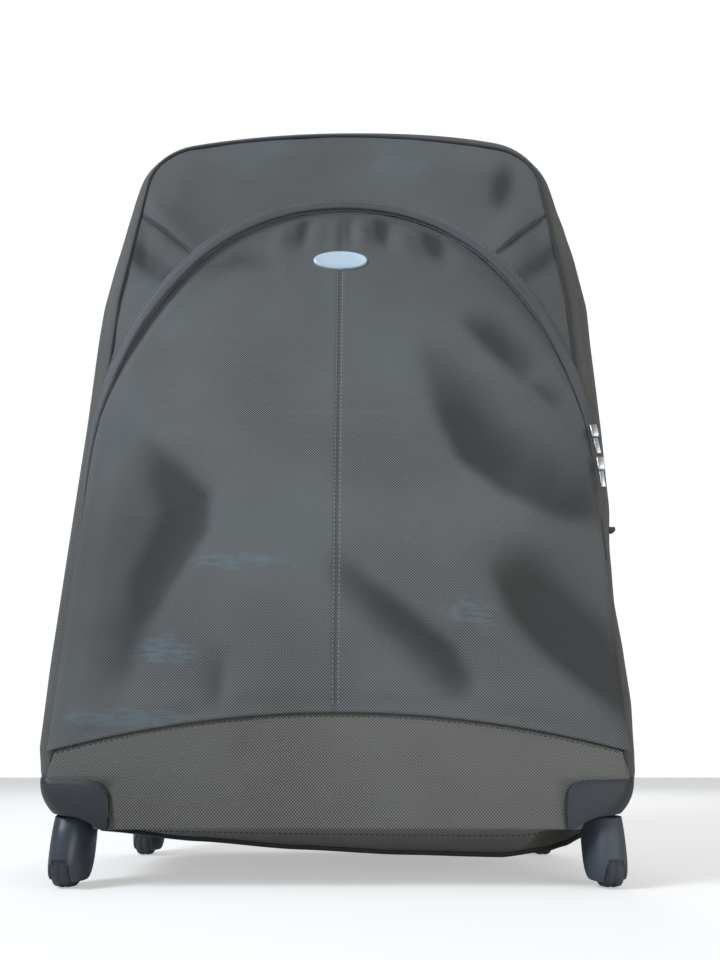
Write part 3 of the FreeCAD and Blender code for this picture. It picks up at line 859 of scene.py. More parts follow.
LEFT_SWELL: tuple[Point, ...] = (
    (0.050, 0.001), (0.082, 0.004), (0.105, 0.0095), (0.180, 0.0110), (0.400, 0.0110), (0.500, 0.0125),
    (0.580, 0.0115), (0.633, 0.0095), (0.668, 0.0080), (0.700, 0.0058), (0.740, 0.0045),
)
RIGHT_SWELL: tuple[Point, ...] = (
    (0.050, -0.001), (0.082, 0.003), (0.105, 0.0054), (0.141, 0.0080), (0.183, 0.0070), (0.227, 0.0045),
    (0.273, 0.0065), (0.322, 0.0120), (0.400, 0.0140), (0.486, 0.0150), (0.547, 0.0165), (0.600, 0.0155),
    (0.640, 0.0125), (0.672, 0.0090), (0.700, 0.0065), (0.740, 0.0050),
)
BELLY_LINE: tuple[Point, ...] = (
    (-0.238, 0.058), (-0.222, 0.052), (-0.208, 0.040), (-0.125, 0.032), (-0.036, 0.0255), (0.052, 0.0215),
    (0.140, 0.0195), (0.179, 0.0240), (0.1945, 0.0280), (0.2100, 0.0345), (0.2150, 0.0385), (0.2230, 0.0520),
    (0.238, 0.059),
)


@dataclass(frozen=True)
class Bag:
    """Places shared by every soft piece, read from the frame."""

    outline: Outline
    arch: Arch
    front: float
    back: float
    split: float
    edge: float = 0.012
    seam_inset: float = 0.008
    kick_radius: float = 0.935
    kick_top: float = 0.1315
    front_foot: float = 0.043
    guard_top: float = 0.081

    def kick_at(self, x: float) -> float:
        """The kick panel seam's height."""
        return self.kick_top - self.kick_radius + math.sqrt(self.kick_radius**2 - x**2)

    def belly_at(self, x: float) -> float:
        """How low the bag's belly hangs between the casters; its right half sags more."""
        return along_table(BELLY_LINE, x)

    def bulge(self, x: float, z: float) -> float:
        """How far the cloth of the sides and the crown swells outwards.

        Args:
            x: Place across.
            z: Height.

        Returns:
            The swell, in metres.
        """
        side = along_table(RIGHT_SWELL if x > 0 else LEFT_SWELL, z)
        crown = 0.0080 + 0.0056 * bell(x - 0.15, 0.10)
        return mix(side, crown, smooth(0.722, 0.758, z))

    def tuck(self, z: float) -> float:
        """How far a front guard leans in under its top."""
        share = min(1.0, max(0.0, (self.guard_top - z) / (self.guard_top - self.outline.foot)))
        return 0.013 * share**2.5

    def wrap(self, x: float, z: float, lift: float = 0.0) -> Vector:
        """Lays a flat place on the front face and round its soft edge.

        Args:
            x: Place across, on the flat pattern.
            z: Height, on the flat pattern.
            lift: How far it stands off the cloth.

        Returns:
            The place in space.
        """
        inside, nx, nz = self.outline.inset(x, z)
        if inside >= self.edge:
            return Vector((x, self.front - lift, z))
        base_x = x - nx * (self.edge - inside)
        base_z = z - nz * (self.edge - inside)
        angle = min((self.edge - inside) / self.edge, math.pi / 2)
        past = max(0.0, self.edge - inside - self.edge * math.pi / 2)
        out = (self.edge + lift) * math.sin(angle)
        depth = self.front + self.edge - (self.edge + lift) * math.cos(angle) + past
        return Vector((base_x + nx * out, depth, base_z + nz * out))


def place_front() -> float:
    """The front face's depth, read from the frame."""
    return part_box("yoke_panel")[0].y


# --- piece making ---

FORWARD = Vector((0, -1, 0))
MERGE_STEP = 1e-5
FINE_STEP = 1e-6
STITCH_SHARE = 0.68

def link(name: str, bm: BMesh, finish: Finish, slot: Slot, body: str | None) -> Piece:
    """Turns a bmesh into a piece with its finish and body.

    Args:
        name: The piece's name.
        bm: The mesh, which is freed.
        finish: Its finish.
        slot: The record's slot for its finish; not used.
        body: The CAD body that it rides on, or none to leave it unattached.

    Returns:
        The piece.
    """
    mesh = bpy.data.meshes.new(name)
    for face in bm.faces:
        face.smooth = True
    bm.to_mesh(mesh)
    bm.free()
    piece = bpy.data.objects.new(name, mesh)
    bpy.context.scene.collection.objects.link(piece)
    mesh.materials.append(finish.material())
    if body is not None:
        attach(piece, body)
    log.info("%s: %d faces, %s", name, len(mesh.polygons), finish.name)
    return piece


def store_painted_shade(bm: BMesh, depth: Callable[[float, float], float]) -> None:
    """Stores each vertex's painted shade, from how deep in a fold it lies and from other darkened places,
    before it is moved off its flat place.

    Args:
        bm: The mesh, whose vertices carry a flat map named flat.
        depth: Gives the painted shade from 0 to 1 for a flat place.
    """
    layer = bm.verts.layers.float.new("fold")
    uv = bm.loops.layers.uv["flat"]
    for face in bm.faces:
        for loop in face.loops:
            loop.vert[layer] = min(1.0, max(0.0, depth(*loop[uv].uv)))


def sheet_mesh(columns: int, rows: int, place: Placer, flat: Flattener) -> BMesh:
    """A grid laid over a surface, with a flat map in metres.

    Args:
        columns: Segments across.
        rows: Segments up.
        place: Gives the place in space for two shares from 0 to 1.
        flat: Gives the flat pattern's place for the same shares.

    Returns:
        The mesh.
    """
    bm = bmesh.new()
    bmesh.ops.create_grid(bm, x_segments=columns, y_segments=rows, size=0.5)
    shares = {v: (v.co.x + 0.5, v.co.y + 0.5) for v in bm.verts}
    uv = bm.loops.layers.uv.new("flat")
    for face in bm.faces:
        for loop in face.loops:
            loop[uv].uv = flat(*shares[loop.vert])
    for v, (a, b) in shares.items():
        v.co = place(a, b)
    return bm


def even(width: float, height: float) -> Flattener:
    """A flat pattern that is a plain rectangle."""
    return lambda u, v: (u * width, v * height)


def face_towards(bm: BMesh, way: Callable[[Vector], Vector]) -> None:
    """Turns every face of an open sheet so that most of it looks the given way.

    Args:
        bm: The sheet.
        way: Gives the way out for a face's middle.
    """
    bm.normal_update()
    agree = sum(f.normal.dot(way(f.calc_center_median())) * f.calc_area() for f in bm.faces)
    if agree < 0:
        bmesh.ops.reverse_faces(bm, faces=bm.faces[:])


def thicken(piece: Piece, thickness: float) -> None:
    """Gives an open sheet its thickness inwards.

    Args:
        piece: The sheet's piece.
        thickness: In metres.
    """
    wall = piece.modifiers.new("thickness", "SOLIDIFY")
    wall.thickness = thickness
    wall.offset = -1.0
    wall.use_rim = True


def rounded_block(low: Vector, high: Vector, radius: float, segments: int = 3) -> BMesh:
    """A block between two corners with every edge rounded.

    Args:
        low: Its low corner.
        high: Its high corner.
        radius: Of its edges.
        segments: Across each edge.

    Returns:
        The mesh.
    """
    bm = bmesh.new()
    size = high - low
    matrix = Matrix.Translation((low + high) / 2) @ Matrix.Diagonal((*size, 1.0))
    bmesh.ops.create_cube(bm, size=1.0, matrix=matrix)
    bmesh.ops.bevel(
        bm, geom=bm.edges[:], offset=min(radius, min(size) * 0.48), segments=segments,
        profile=0.5, affect="EDGES", material=-1,
    )
    return bm


def cut_off(bm: BMesh, place: Vector, way: Vector) -> None:
    """Cuts a mesh through a place and drops the side that lies the given way."""
    geom = bm.verts[:] + bm.edges[:] + bm.faces[:]
    bmesh.ops.bisect_plane(bm, geom=geom, plane_co=place, plane_no=way, clear_outer=True)


def merge(target: BMesh, extra: BMesh) -> None:
    """Adds one mesh to another, and frees it.

    Args:
        target: The mesh that grows.
        extra: The mesh that is added.
    """
    mesh = bpy.data.meshes.new("part")
    extra.to_mesh(mesh)
    extra.free()
    target.from_mesh(mesh)
    bpy.data.meshes.remove(mesh)


def tube_along(points: list[Vector], radius: float, sides: int = 10, closed: bool = False) -> BMesh:
    """A round tube through points, with closed ends.

    Args:
        points: The middle line.
        radius: The tube's radius.
        sides: Faces round it.
        closed: Whether the line is a loop.

    Returns:
        The mesh.
    """
    bm = bmesh.new()
    count = len(points)
    rings = []
    for i, point in enumerate(points):
        before = points[i - 1] if closed or i > 0 else points[i]
        after = points[(i + 1) % count] if closed or i < count - 1 else points[i]
        along = (after - before).normalized()
        turn = along.to_track_quat("Z", "Y").to_matrix().to_4x4()
        made = bmesh.ops.create_circle(
            bm, cap_ends=not closed and i in (0, count - 1), segments=sides, radius=radius,
            matrix=Matrix.Translation(point) @ turn)
        rings.append(list({e for v in made["verts"] for e in v.link_edges}))
    pairs = list(zip(rings, rings[1:])) + ([(rings[-1], rings[0])] if closed else [])
    for a, b in pairs:
        bmesh.ops.bridge_loops(bm, edges=a + b)
    bmesh.ops.recalc_face_normals(bm, faces=bm.faces[:])
    return bm


def stitches(bm: BMesh, points: list[Vector], pitch: float, radius: float) -> None:
    """Adds a row of short thread stitches along a line.

    Args:
        bm: The mesh to add to.
        points: The line that the needle follows.
        pitch: From one stitch to the next.
        radius: The thread's radius.
    """
    half_stitch = pitch * STITCH_SHARE * 0.5
    walked = 0.0
    due = 0.0
    for a, b in zip(points, points[1:]):
        length = (b - a).length
        while length > 1e-9 and due <= walked + length:
            centre = a.lerp(b, (due - walked) / length)
            turn = (b - a).to_track_quat("Z", "Y").to_matrix().to_4x4()
            shape = Matrix.Diagonal((radius, radius, half_stitch, 1.0))
            bmesh.ops.create_icosphere(
                bm, subdivisions=1, radius=1.0, matrix=Matrix.Translation(centre) @ turn @ shape)
            due += pitch
        walked += length


# --- the front ---


@dataclass
class PocketFace:
    """The big pocket panel: one cloth that hangs soft between its seams."""

    bag: Bag
    columns: int = 190
    rows: int = 180
    edge_lift: float = 0.0022
    puff: float = 0.0085
    seam_x: float = -0.0029
    soft_floor: float = 0.0042
    hard_floor: float = 0.0017
    edge_rise: float = 0.0042
    edge_reach: float = 0.030
    puff_reach: float = 0.14
    fold_low: float = 0.300
    fold_high: float = 0.340
    stitch_gap: float = 0.0024

    def dent(self, x: float, z: float, line: list[Point], crisp: float, soft: float, depth: float) -> float:
        """A hollow with a crisp edge along a bent line, and a soft slope to the left of its run.

        Args:
            x: Place across.
            z: Height.
            line: The hollow's line.
            crisp: Width of its sharp side.
            soft: Width of its soft side.
            depth: How deep it is.

        Returns:
            The lift, less than 0.
        """
        best = 1e9
        share = 0.0
        left = False
        total = len(line) - 1
        for i, (a, b) in enumerate(zip(line, line[1:])):
            ax, az = a
            bx, bz = b
            run = (bx - ax) ** 2 + (bz - az) ** 2
            t = min(1.0, max(0.0, ((x - ax) * (bx - ax) + (z - az) * (bz - az)) / run))
            far = math.hypot(x - mix(ax, bx, t), z - mix(az, bz, t))
            if far < best:
                best = far
                share = (i + t) / total
                left = (bx - ax) * (z - az) - (bz - az) * (x - ax) > 0
        fade = max(0.0, math.sin(math.pi * share)) ** 0.6
        return -depth * bell(best, soft if left else crisp) * fade

    def folds(self, x: float, z: float) -> float:
        """The panel's creases and slack lumps.

        Args:
            x: Place across.
            z: Height.

        Returns:
            The lift, in metres.
        """
        lift = 0.0
        for line, crisp, soft, depth in CREASES:
            lift += self.dent(x, z, line, crisp, soft, depth)
        for cx, cz, reach_x, reach_z, height in LUMPS:
            lift += height * spot(x, z, cx, cz, reach_x, reach_z)
        top = self.bag.arch.top_at(x)
        below = top - z
        fade = smooth(0.001, 0.014, below) * (1 - smooth(0.018, 0.070, below))
        for middle, width, depth in GATHERS:
            off = x - middle * (1 + below * 1.2)
            lift -= depth * fade * bell(off, width)
            lift += 0.55 * depth * fade * (bell(off - 1.9 * width, width) + bell(off + 1.9 * width, width))
        lift += 0.0011 * drift(x, z, 0.075, 3.1) + 0.0005 * drift(x, z, 0.028, 7.7)
        return lift

    def lift(self, x: float, z: float) -> float:
        """How far the panel stands off the lid's front.

        Args:
            x: Place across.
            z: Height.

        Returns:
            The lift, in metres.
        """
        arch = self.bag.arch
        side = arch.half_width - abs(x)
        top = arch.top_at(x) - z
        near_arch = min(side, top * 0.9) if z > arch.side_height else min(side, 10.0)
        near_kick = z - self.bag.kick_at(x)
        edge = smooth(0.0, self.edge_reach, max(0.0, near_arch)) * smooth(-0.002, 0.020, near_kick)
        wide = smooth(0.0, self.puff_reach, max(0.0, near_arch)) * smooth(0.0, 0.10, near_kick)
        off = x - self.seam_x
        seam = -0.0016 * bell(off, 0.0016) + 0.0008 * (bell(off - 0.0045, 0.003) + bell(off + 0.0045, 0.003))
        lift = self.edge_lift + self.edge_rise * edge + self.puff * wide
        lift += (self.folds(x, z) + seam) * edge
        if lift > self.soft_floor:
            return lift
        spare = self.soft_floor - self.hard_floor
        return self.hard_floor + spare * math.exp((lift - self.soft_floor) / spare)

    def depth(self, x: float, z: float) -> float:
        """How much painted shade a place takes, from 0 to 1: from how deep it lies in a fold, along the centre
        seam, and in darkened regions.

        Args:
            x: Place across.
            z: Height.

        Returns:
            The painted shade.
        """
        # Painted shade along the centre seam's groove.
        seam = 0.85 * bell(x - self.seam_x, 0.0011)
        arch = self.bag.arch
        near = min(arch.half_width - abs(x), arch.top_at(x) - z)
        # Painted shade along the arch's edge, where the panel tucks under the flap; the pocket's upper part
        # and a patch low on the left are also darkened.
        painted_darkening = 0.26 * (1 - smooth(0.0, 0.085, near)) + 0.20 * smooth(0.38, 0.56, z)
        painted_darkening += 0.34 * spot(x, z, -0.180, 0.270, 0.075, 0.110)
        return max(seam, smooth(0.0004, 0.0080, -self.folds(x, z))) + painted_darkening * (1 - seam)

    def flat(self, u: float, v: float) -> Point:
        """The flat pattern's place for two shares.

        Args:
            u: Share across.
            v: Share along.

        Returns:
            The flat pattern's place.
        """
        x = self.bag.arch.half_width * math.sin((u - 0.5) * math.pi)
        low = self.bag.kick_at(x) - 0.001
        return x, mix(low, self.bag.arch.top_at(x), v)

    def place(self, x: float, z: float, extra: float = 0.0) -> Vector:
        """A place on the panel's face, or a little off it."""
        return self.bag.wrap(x, z, self.lift(x, z) + extra)

    def build(self) -> None:
        """Makes the panel."""
        bm = sheet_mesh(self.columns, self.rows, lambda u, v: self.place(*self.flat(u, v)), self.flat)
        face_towards(bm, lambda _: FORWARD)
        store_painted_shade(bm, self.depth)
        piece = link("pocket_face", bm, SHELL, Slot.SHELL, None)
        thicken(piece, 1.1 * MM)
        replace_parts(piece, "pocket_panel_upper", "pocket_panel_lower")
        self.bend(piece)
        top = self.bag.arch.top_at(0.0) - self.bag.kick_at(self.bag.arch.half_width)
        self.flat_area()

    def flat_area(self) -> float:
        """The cut's area on the flat pattern.

        Returns:
            The area, in square metres.
        """
        arch, steps = self.bag.arch, 400
        width = 2 * arch.half_width / steps
        places = [(i + 0.5) * width - arch.half_width for i in range(steps)]
        return sum(width * (arch.top_at(x) - self.bag.kick_at(x)) for x in places)

    def bend(self, piece: Piece) -> None:
        """Bakes a piece's transform into its mesh."""
        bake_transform(piece)

    def centre_seam(self) -> None:
        """The two rows of stitches down the panel's middle."""
        bm = bmesh.new()
        badge_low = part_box("badge")[0].z
        heights = spread(badge_low - 0.001, self.bag.kick_top + 0.004, 220)
        for x in (self.seam_x - self.stitch_gap, self.seam_x + self.stitch_gap):
            stitches(bm, [self.place(x, z, 0.0001) for z in heights], 4.1 * MM, 0.42 * MM)
        piece = link("centre_seam_thread", bm, THREAD, Slot.SHELL, None)
        self.bend(piece)


CREASES: tuple[tuple[list[Point], float, float, float], ...] = (
    ([(0.080, 0.500), (0.101, 0.410), (0.120, 0.362), (0.156, 0.330), (0.196, 0.314), (0.270, 0.298)],
     0.018, 0.048, 0.0095),
    ([(0.126, 0.272), (0.144, 0.242), (0.179, 0.195), (0.213, 0.163), (0.266, 0.110)], 0.019, 0.046, 0.0095),
    ([(-0.190, 0.120), (-0.177, 0.195), (-0.160, 0.239), (-0.133, 0.286), (-0.131, 0.314), (-0.172, 0.356),
      (-0.222, 0.412)], 0.017, 0.042, 0.0085),
    ([(0.104, 0.136), (0.101, 0.157), (0.090, 0.178), (0.059, 0.203), (0.012, 0.242), (-0.006, 0.266)],
     0.013, 0.028, 0.0080),
    ([(-0.103, 0.128), (-0.099, 0.180)], 0.008, 0.013, 0.0050),
    ([(0.184, 0.440), (0.213, 0.408)], 0.008, 0.016, 0.0040),
    ([(0.118, 0.520), (0.152, 0.480), (0.186, 0.438)], 0.013, 0.030, 0.0060),
    ([(-0.165, 0.560), (-0.110, 0.585), (-0.060, 0.576)], 0.018, 0.018, 0.0035),
    ([(-0.134, 0.405), (0.100, 0.403)], 0.003, 0.003, 0.0006),
)

LUMPS: tuple[tuple[float, float, float, float, float], ...] = (
    (-0.196, 0.300, 0.022, 0.100, 0.0035),
    (-0.080, 0.430, 0.075, 0.110, 0.0020),
    (0.060, 0.330, 0.060, 0.090, 0.0022),
    (0.160, 0.330, 0.040, 0.030, 0.0026),
    (-0.060, 0.200, 0.080, 0.060, 0.0016),
    (0.120, 0.260, 0.030, 0.030, 0.0028),
    (0.085, 0.540, 0.030, 0.040, 0.0014),
)

GATHERS: tuple[tuple[float, float, float], ...] = (
    (-0.044, 0.0105, 0.0062),
    (0.006, 0.0075, 0.0058),
    (0.040, 0.0130, 0.0078),
    (0.092, 0.0170, 0.0060),
)


@dataclass
class FrontSkin:
    """Yoke and shoulders: the cloth between the arch and the front edge."""

    bag: Bag
    seam_start: Point = (0.160, 0.592)
    seam_end: Point = (0.232, 0.657)
    thread_gap: float = 0.0035
    least_run: float = 0.002
    farthest_run: float = 0.30
    halvings: int = 28

    def seam_distance(self, x: float, z: float) -> float:
        """The height over the nearer shoulder seam, measured square to it.

        Args:
            x: Place across.
            z: Height.

        Returns:
            The distance, more than 0 above the seam.
        """
        (ax, az), (bx, bz) = self.seam_start, self.seam_end
        length = math.hypot(bx - ax, bz - az)
        return ((z - az) * (bx - ax) - (abs(x) - ax) * (bz - az)) / length

    def lift(self, x: float, z: float) -> float:
        """Soft bulges, sunk along the shoulder seams and the arch.

        Args:
            x: Place across.
            z: Height.

        Returns:
            The lift, in metres.
        """
        inside, _, _ = self.bag.outline.inset(x, z)
        seam = self.seam_distance(x, z)
        puff = 0.0045 * smooth(0.004, 0.045, inside)
        free = smooth(0.012, 0.040, self.bag.arch.away(x, z)) * smooth(0.007, 0.026, inside)
        groove = -0.0026 * bell(seam, 0.0026)
        tuck = 0.0034 * bell(seam - 0.014, 0.012) - 0.0022 * bell(seam + 0.020, 0.016)
        slack = 0.0013 * drift(x, z, 0.060, 11.0) + 0.0005 * drift(x, z, 0.022, 2.0)
        return puff + (groove + tuck) * free + self.dents(x, z) * free + slack

    def dents(self, x: float, z: float) -> float:
        """The hollow at the yoke's right end and the hollows on the shoulders.

        Args:
            x: Place across.
            z: Height.

        Returns:
            The lift, less than 0 in a hollow.
        """
        seam = self.seam_distance(x, z)
        crease = -0.0050 * bell(seam + 0.036, 0.015) * smooth(0.150, 0.190, abs(x))
        right = -0.0070 * spot(x, z, 0.176 + 0.2 * (z - 0.69), 0.690, 0.015, 0.036)
        left = -0.0020 * spot(x, z, -0.110, 0.690, 0.030, 0.024)
        return crease + right + left

    def depth(self, x: float, z: float) -> float:
        """How much painted shade a place takes, from 0 to 1: from how deep it lies in a fold or a seam, and in
        darkened regions.

        Args:
            x: Place across.
            z: Height.

        Returns:
            The painted shade.
        """
        # Painted shade along the shoulder seams and in the dents.
        seam = 0.9 * bell(self.seam_distance(x, z), 0.0016)
        # Painted darkening towards the left, at the right end below the shoulders, and in a patch on the left
        # shoulder.
        painted_darkening = mix(0.34, 0.15, smooth(-0.15, 0.12, x))
        painted_darkening += 0.18 * smooth(0.17, 0.20, x) * (1 - smooth(0.60, 0.66, z))
        painted_darkening += 0.22 * spot(x, z, -0.195, 0.610, 0.050, 0.075)
        return max(seam, smooth(0.0005, 0.0080, -self.dents(x, z)) + painted_darkening)

    def reach(self, x: float, z: float, nx: float, nz: float) -> float:
        """How far the cloth runs outwards from the arch to the piping.

        Args:
            x: Place across.
            z: Height.
            nx: The way out, across.
            nz: The way out, up.

        Returns:
            The run, in metres.
        """
        low, high = 0.0, self.farthest_run
        target = self.bag.seam_inset
        if self.bag.outline.inset(x, z)[0] <= target + self.least_run:
            return self.least_run
        for _ in range(self.halvings):
            middle = (low + high) / 2
            if self.bag.outline.inset(x + nx * middle, z + nz * middle)[0] > target:
                low = middle
            else:
                high = middle
        return max(self.least_run, low)

    def flat(self, u: float, v: float) -> Point:
        """The flat pattern's place for two shares.

        Args:
            u: Share across.
            v: Share along.

        Returns:
            The flat pattern's place.
        """
        x, z, nx, nz = self.bag.arch.at(u)
        run = self.reach(x, z, nx, nz) * v
        return x + nx * run, z + nz * run

    def place(self, x: float, z: float, extra: float = 0.0) -> Vector:
        """A place on the cloth, or a little off it."""
        return self.bag.wrap(x, z, self.lift(x, z) + extra)

    def piece(self, name: str, node: str, keep_above: bool, sides: tuple[int, ...]) -> None:
        """One panel, cut from the whole skin along the shoulder seams.

        Args:
            name: The panel's name.
            node: The CAD node that it replaces.
            keep_above: Whether it is the part above the seams.
            sides: Which sides it is cut on, 1 or -1.
        """
        bm = sheet_mesh(300, 44, lambda u, v: Vector((*self.flat(u, v), 0.0)), self.flat)
        (ax, az), (bx, bz) = self.seam_start, self.seam_end
        for side in (1, -1):
            normal = Vector((side * (bz - az), -(bx - ax), 0.0)).normalized()
            plane = Vector((side * ax, az, 0.0))
            if keep_above:
                cut_off(bm, plane, normal)
            elif side in sides:
                cut_off(bm, plane, -normal)
        if not keep_above:
            cut_off(bm, Vector((sides[0] * 0.05, 0, 0)), Vector((-sides[0], 0, 0)))
        store_painted_shade(bm, self.depth)
        for v in bm.verts:
            v.co = self.place(v.co.x, v.co.y)
        face_towards(bm, lambda _: FORWARD)
        made = link(name, bm, SHELL, Slot.SHELL, "lid")
        thicken(made, 1.2 * MM)
        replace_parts(made, node)

    def seam_thread(self) -> None:
        """Stitches that hold the shoulder seams, just above them."""
        bm = bmesh.new()
        (ax, az), (bx, bz) = self.seam_start, self.seam_end
        nx, nz = -(bz - az), bx - ax
        length = math.hypot(nx, nz)
        for side in (1, -1):
            line = []
            for t in spread(0.0, 1.0, 59):
                x = mix(ax, bx, t) + nx / length * self.thread_gap
                z = mix(az, bz, t) + nz / length * self.thread_gap
                if self.bag.outline.inset(x, z)[0] > self.bag.seam_inset + 0.002:
                    line.append(self.place(side * x, z, 0.0002))
            stitches(bm, line, 4.0 * MM, 0.45 * MM)
        link("shoulder_seam_thread", bm, DARK_THREAD, Slot.SHELL, "lid")

    def build(self) -> None:
        """Makes the yoke, both shoulders and their stitches."""
        self.piece("yoke_cloth", "yoke_panel", True, (1, -1))
        self.piece("shoulder_cloth_right", "shoulder_panels", False, (1,))
        self.piece("shoulder_cloth_left", "shoulder_panels", False, (-1,))
        self.seam_thread()


@dataclass
class ArchFlap:
    """The smooth flap over the pocket's zip, and the zip's coil under it."""

    bag: Bag
    skin: FrontSkin
    width: float = 0.0150
    rise: float = 0.0034
    foot: float = 0.262
    narrow: float = 0.10

    def ground(self, x: float, z: float) -> float:
        """The height of the cloth under a place."""
        inside = self.bag.outline.inset(x, z)[0]
        return self.skin.lift(x, z) if inside > self.bag.seam_inset else 0.0

    def flap_place(self, u: float, v: float) -> Vector:
        """A place on the flap: stitched flat outside, free and raised inside; it narrows to its ends.

        Args:
            u: Share across.
            v: Share along.

        Returns:
            The place in space.
        """
        x, z, nx, nz = self.bag.arch.at(u, self.foot)
        full = smooth(0.055, 0.055 + self.narrow, u) * smooth(0.0, self.narrow, 1 - u)
        run = mix(mix(0.0036, self.width, full), 0.0006, v)
        px, pz = x + nx * run, z + nz * run
        roll = self.rise * smooth(0.0, 0.55, v)
        lip = -0.0026 * smooth(0.93, 1.0, v)
        wave = 0.0003 * drift(u * 40, v, 1.0, 5.0)
        lift = self.ground(px, pz) + 0.0010 + (roll + lip + wave) * mix(0.30, 1.0, full)
        return self.bag.wrap(px, pz, lift)

    def build(self) -> None:
        """Makes the flap, its stitches and the zip's coil."""
        length = 2 * sum(self.bag.arch.lengths(self.foot))
        bm = sheet_mesh(300, 12, self.flap_place, even(length, self.width))
        face_towards(bm, lambda _: FORWARD)
        flap = link("arch_flap_cloth", bm, FLAP, Slot.FLAP, "lid")
        thicken(flap, 1.3 * MM)
        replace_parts(flap, "arch_flap")

        row = bmesh.new()
        line = [self.flap_place(u, 0.16) + Vector((0, -0.0002, 0)) for u in spread(0.03, 0.97, 300)]
        stitches(row, line, 4.2 * MM, 0.45 * MM)
        link("arch_flap_thread", row, DARK_THREAD, Slot.FLAP, "lid")

        points = []
        for s in spread(0.0, 1.0, 300):
            x, z, nx, nz = self.bag.arch.at(s, self.foot)
            points.append(self.bag.wrap(x + nx * 0.003, z + nz * 0.003, 0.0012))
        link("pocket_zip_coil", tube_along(points, 1.6 * MM, 8), TEETH, Slot.ZIP_TEETH, "lid")


@dataclass
class KickPanel:
    """The coarse panel under the pocket, with its seam and its welt."""

    bag: Bag

    def lift(self, x: float, z: float) -> float:
        """A firm, slightly bowed face.

        Args:
            x: Place across.
            z: Height.

        Returns:
            The lift, in metres.
        """
        height = (z - self.bag.front_foot) / (self.bag.kick_at(x) - self.bag.front_foot)
        bow = 0.0040 * math.sin(math.pi * min(1.0, max(0.0, height * 0.94)))
        dent = -0.0022 * spot(x, z, -0.076, 0.098, 0.012, 0.014)
        step = -0.0022 * smooth(0.94, 1.0, height)
        soft = bow + dent + step + 0.0007 * drift(x, z, 0.05, 21.0)
        under = smooth(0.172, 0.184, abs(x)) * (1 - smooth(0.072, 0.083, z))
        return mix(soft, -0.0012, under)

    def place(self, x: float, z: float, extra: float = 0.0) -> Vector:
        """A place on the panel, or a little off it."""
        return self.bag.wrap(x, z, self.lift(x, z) + extra)

    def build(self) -> None:
        """Makes the panel, its seam and its stitches."""
        half = self.bag.outline.half_width - self.bag.seam_inset

        def flat(u: float, v: float) -> Point:
            """The panel's flat pattern, cut short over the guards.

            Args:
                u: Share across.
                v: Share along.

            Returns:
                The flat pattern's place.
            """
            x = mix(-half, half, u)
            low = mix(self.bag.front_foot, 0.070, smooth(0.190, 0.205, abs(x)))
            return x, mix(low, self.bag.kick_at(x) + 0.002, v)

        bm = sheet_mesh(160, 40, lambda u, v: self.place(*flat(u, v)), flat)
        face_towards(bm, lambda _: FORWARD)
        # Painted darkening: a little over the whole panel, and more towards the left.
        store_painted_shade(bm, lambda x, z: 0.30 * (1 - smooth(-0.24, 0.06, x)) + 0.10)
        cloth = link("kick_cloth", bm, KICK, Slot.SHELL, "lid")
        thicken(cloth, 1.4 * MM)
        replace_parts(cloth, "kick_panel")

        row = bmesh.new()
        reach = half - 0.004
        xs = spread(-reach, reach, 200)
        stitches(row, [self.place(x, self.bag.kick_at(x) - 0.0040, 0.0002) for x in xs], 4.4 * MM, 0.5 * MM)
        link("kick_seam_thread", row, DARK_THREAD, Slot.SHELL, "lid")
        welt = tube_along([self.place(x, self.bag.kick_at(x) + 0.0002, -0.0002) for x in xs], 1.3 * MM, 8)
        link("kick_seam_welt", welt, PIPING, Slot.FLAP, "lid")


# --- sides, top, back and belly ---


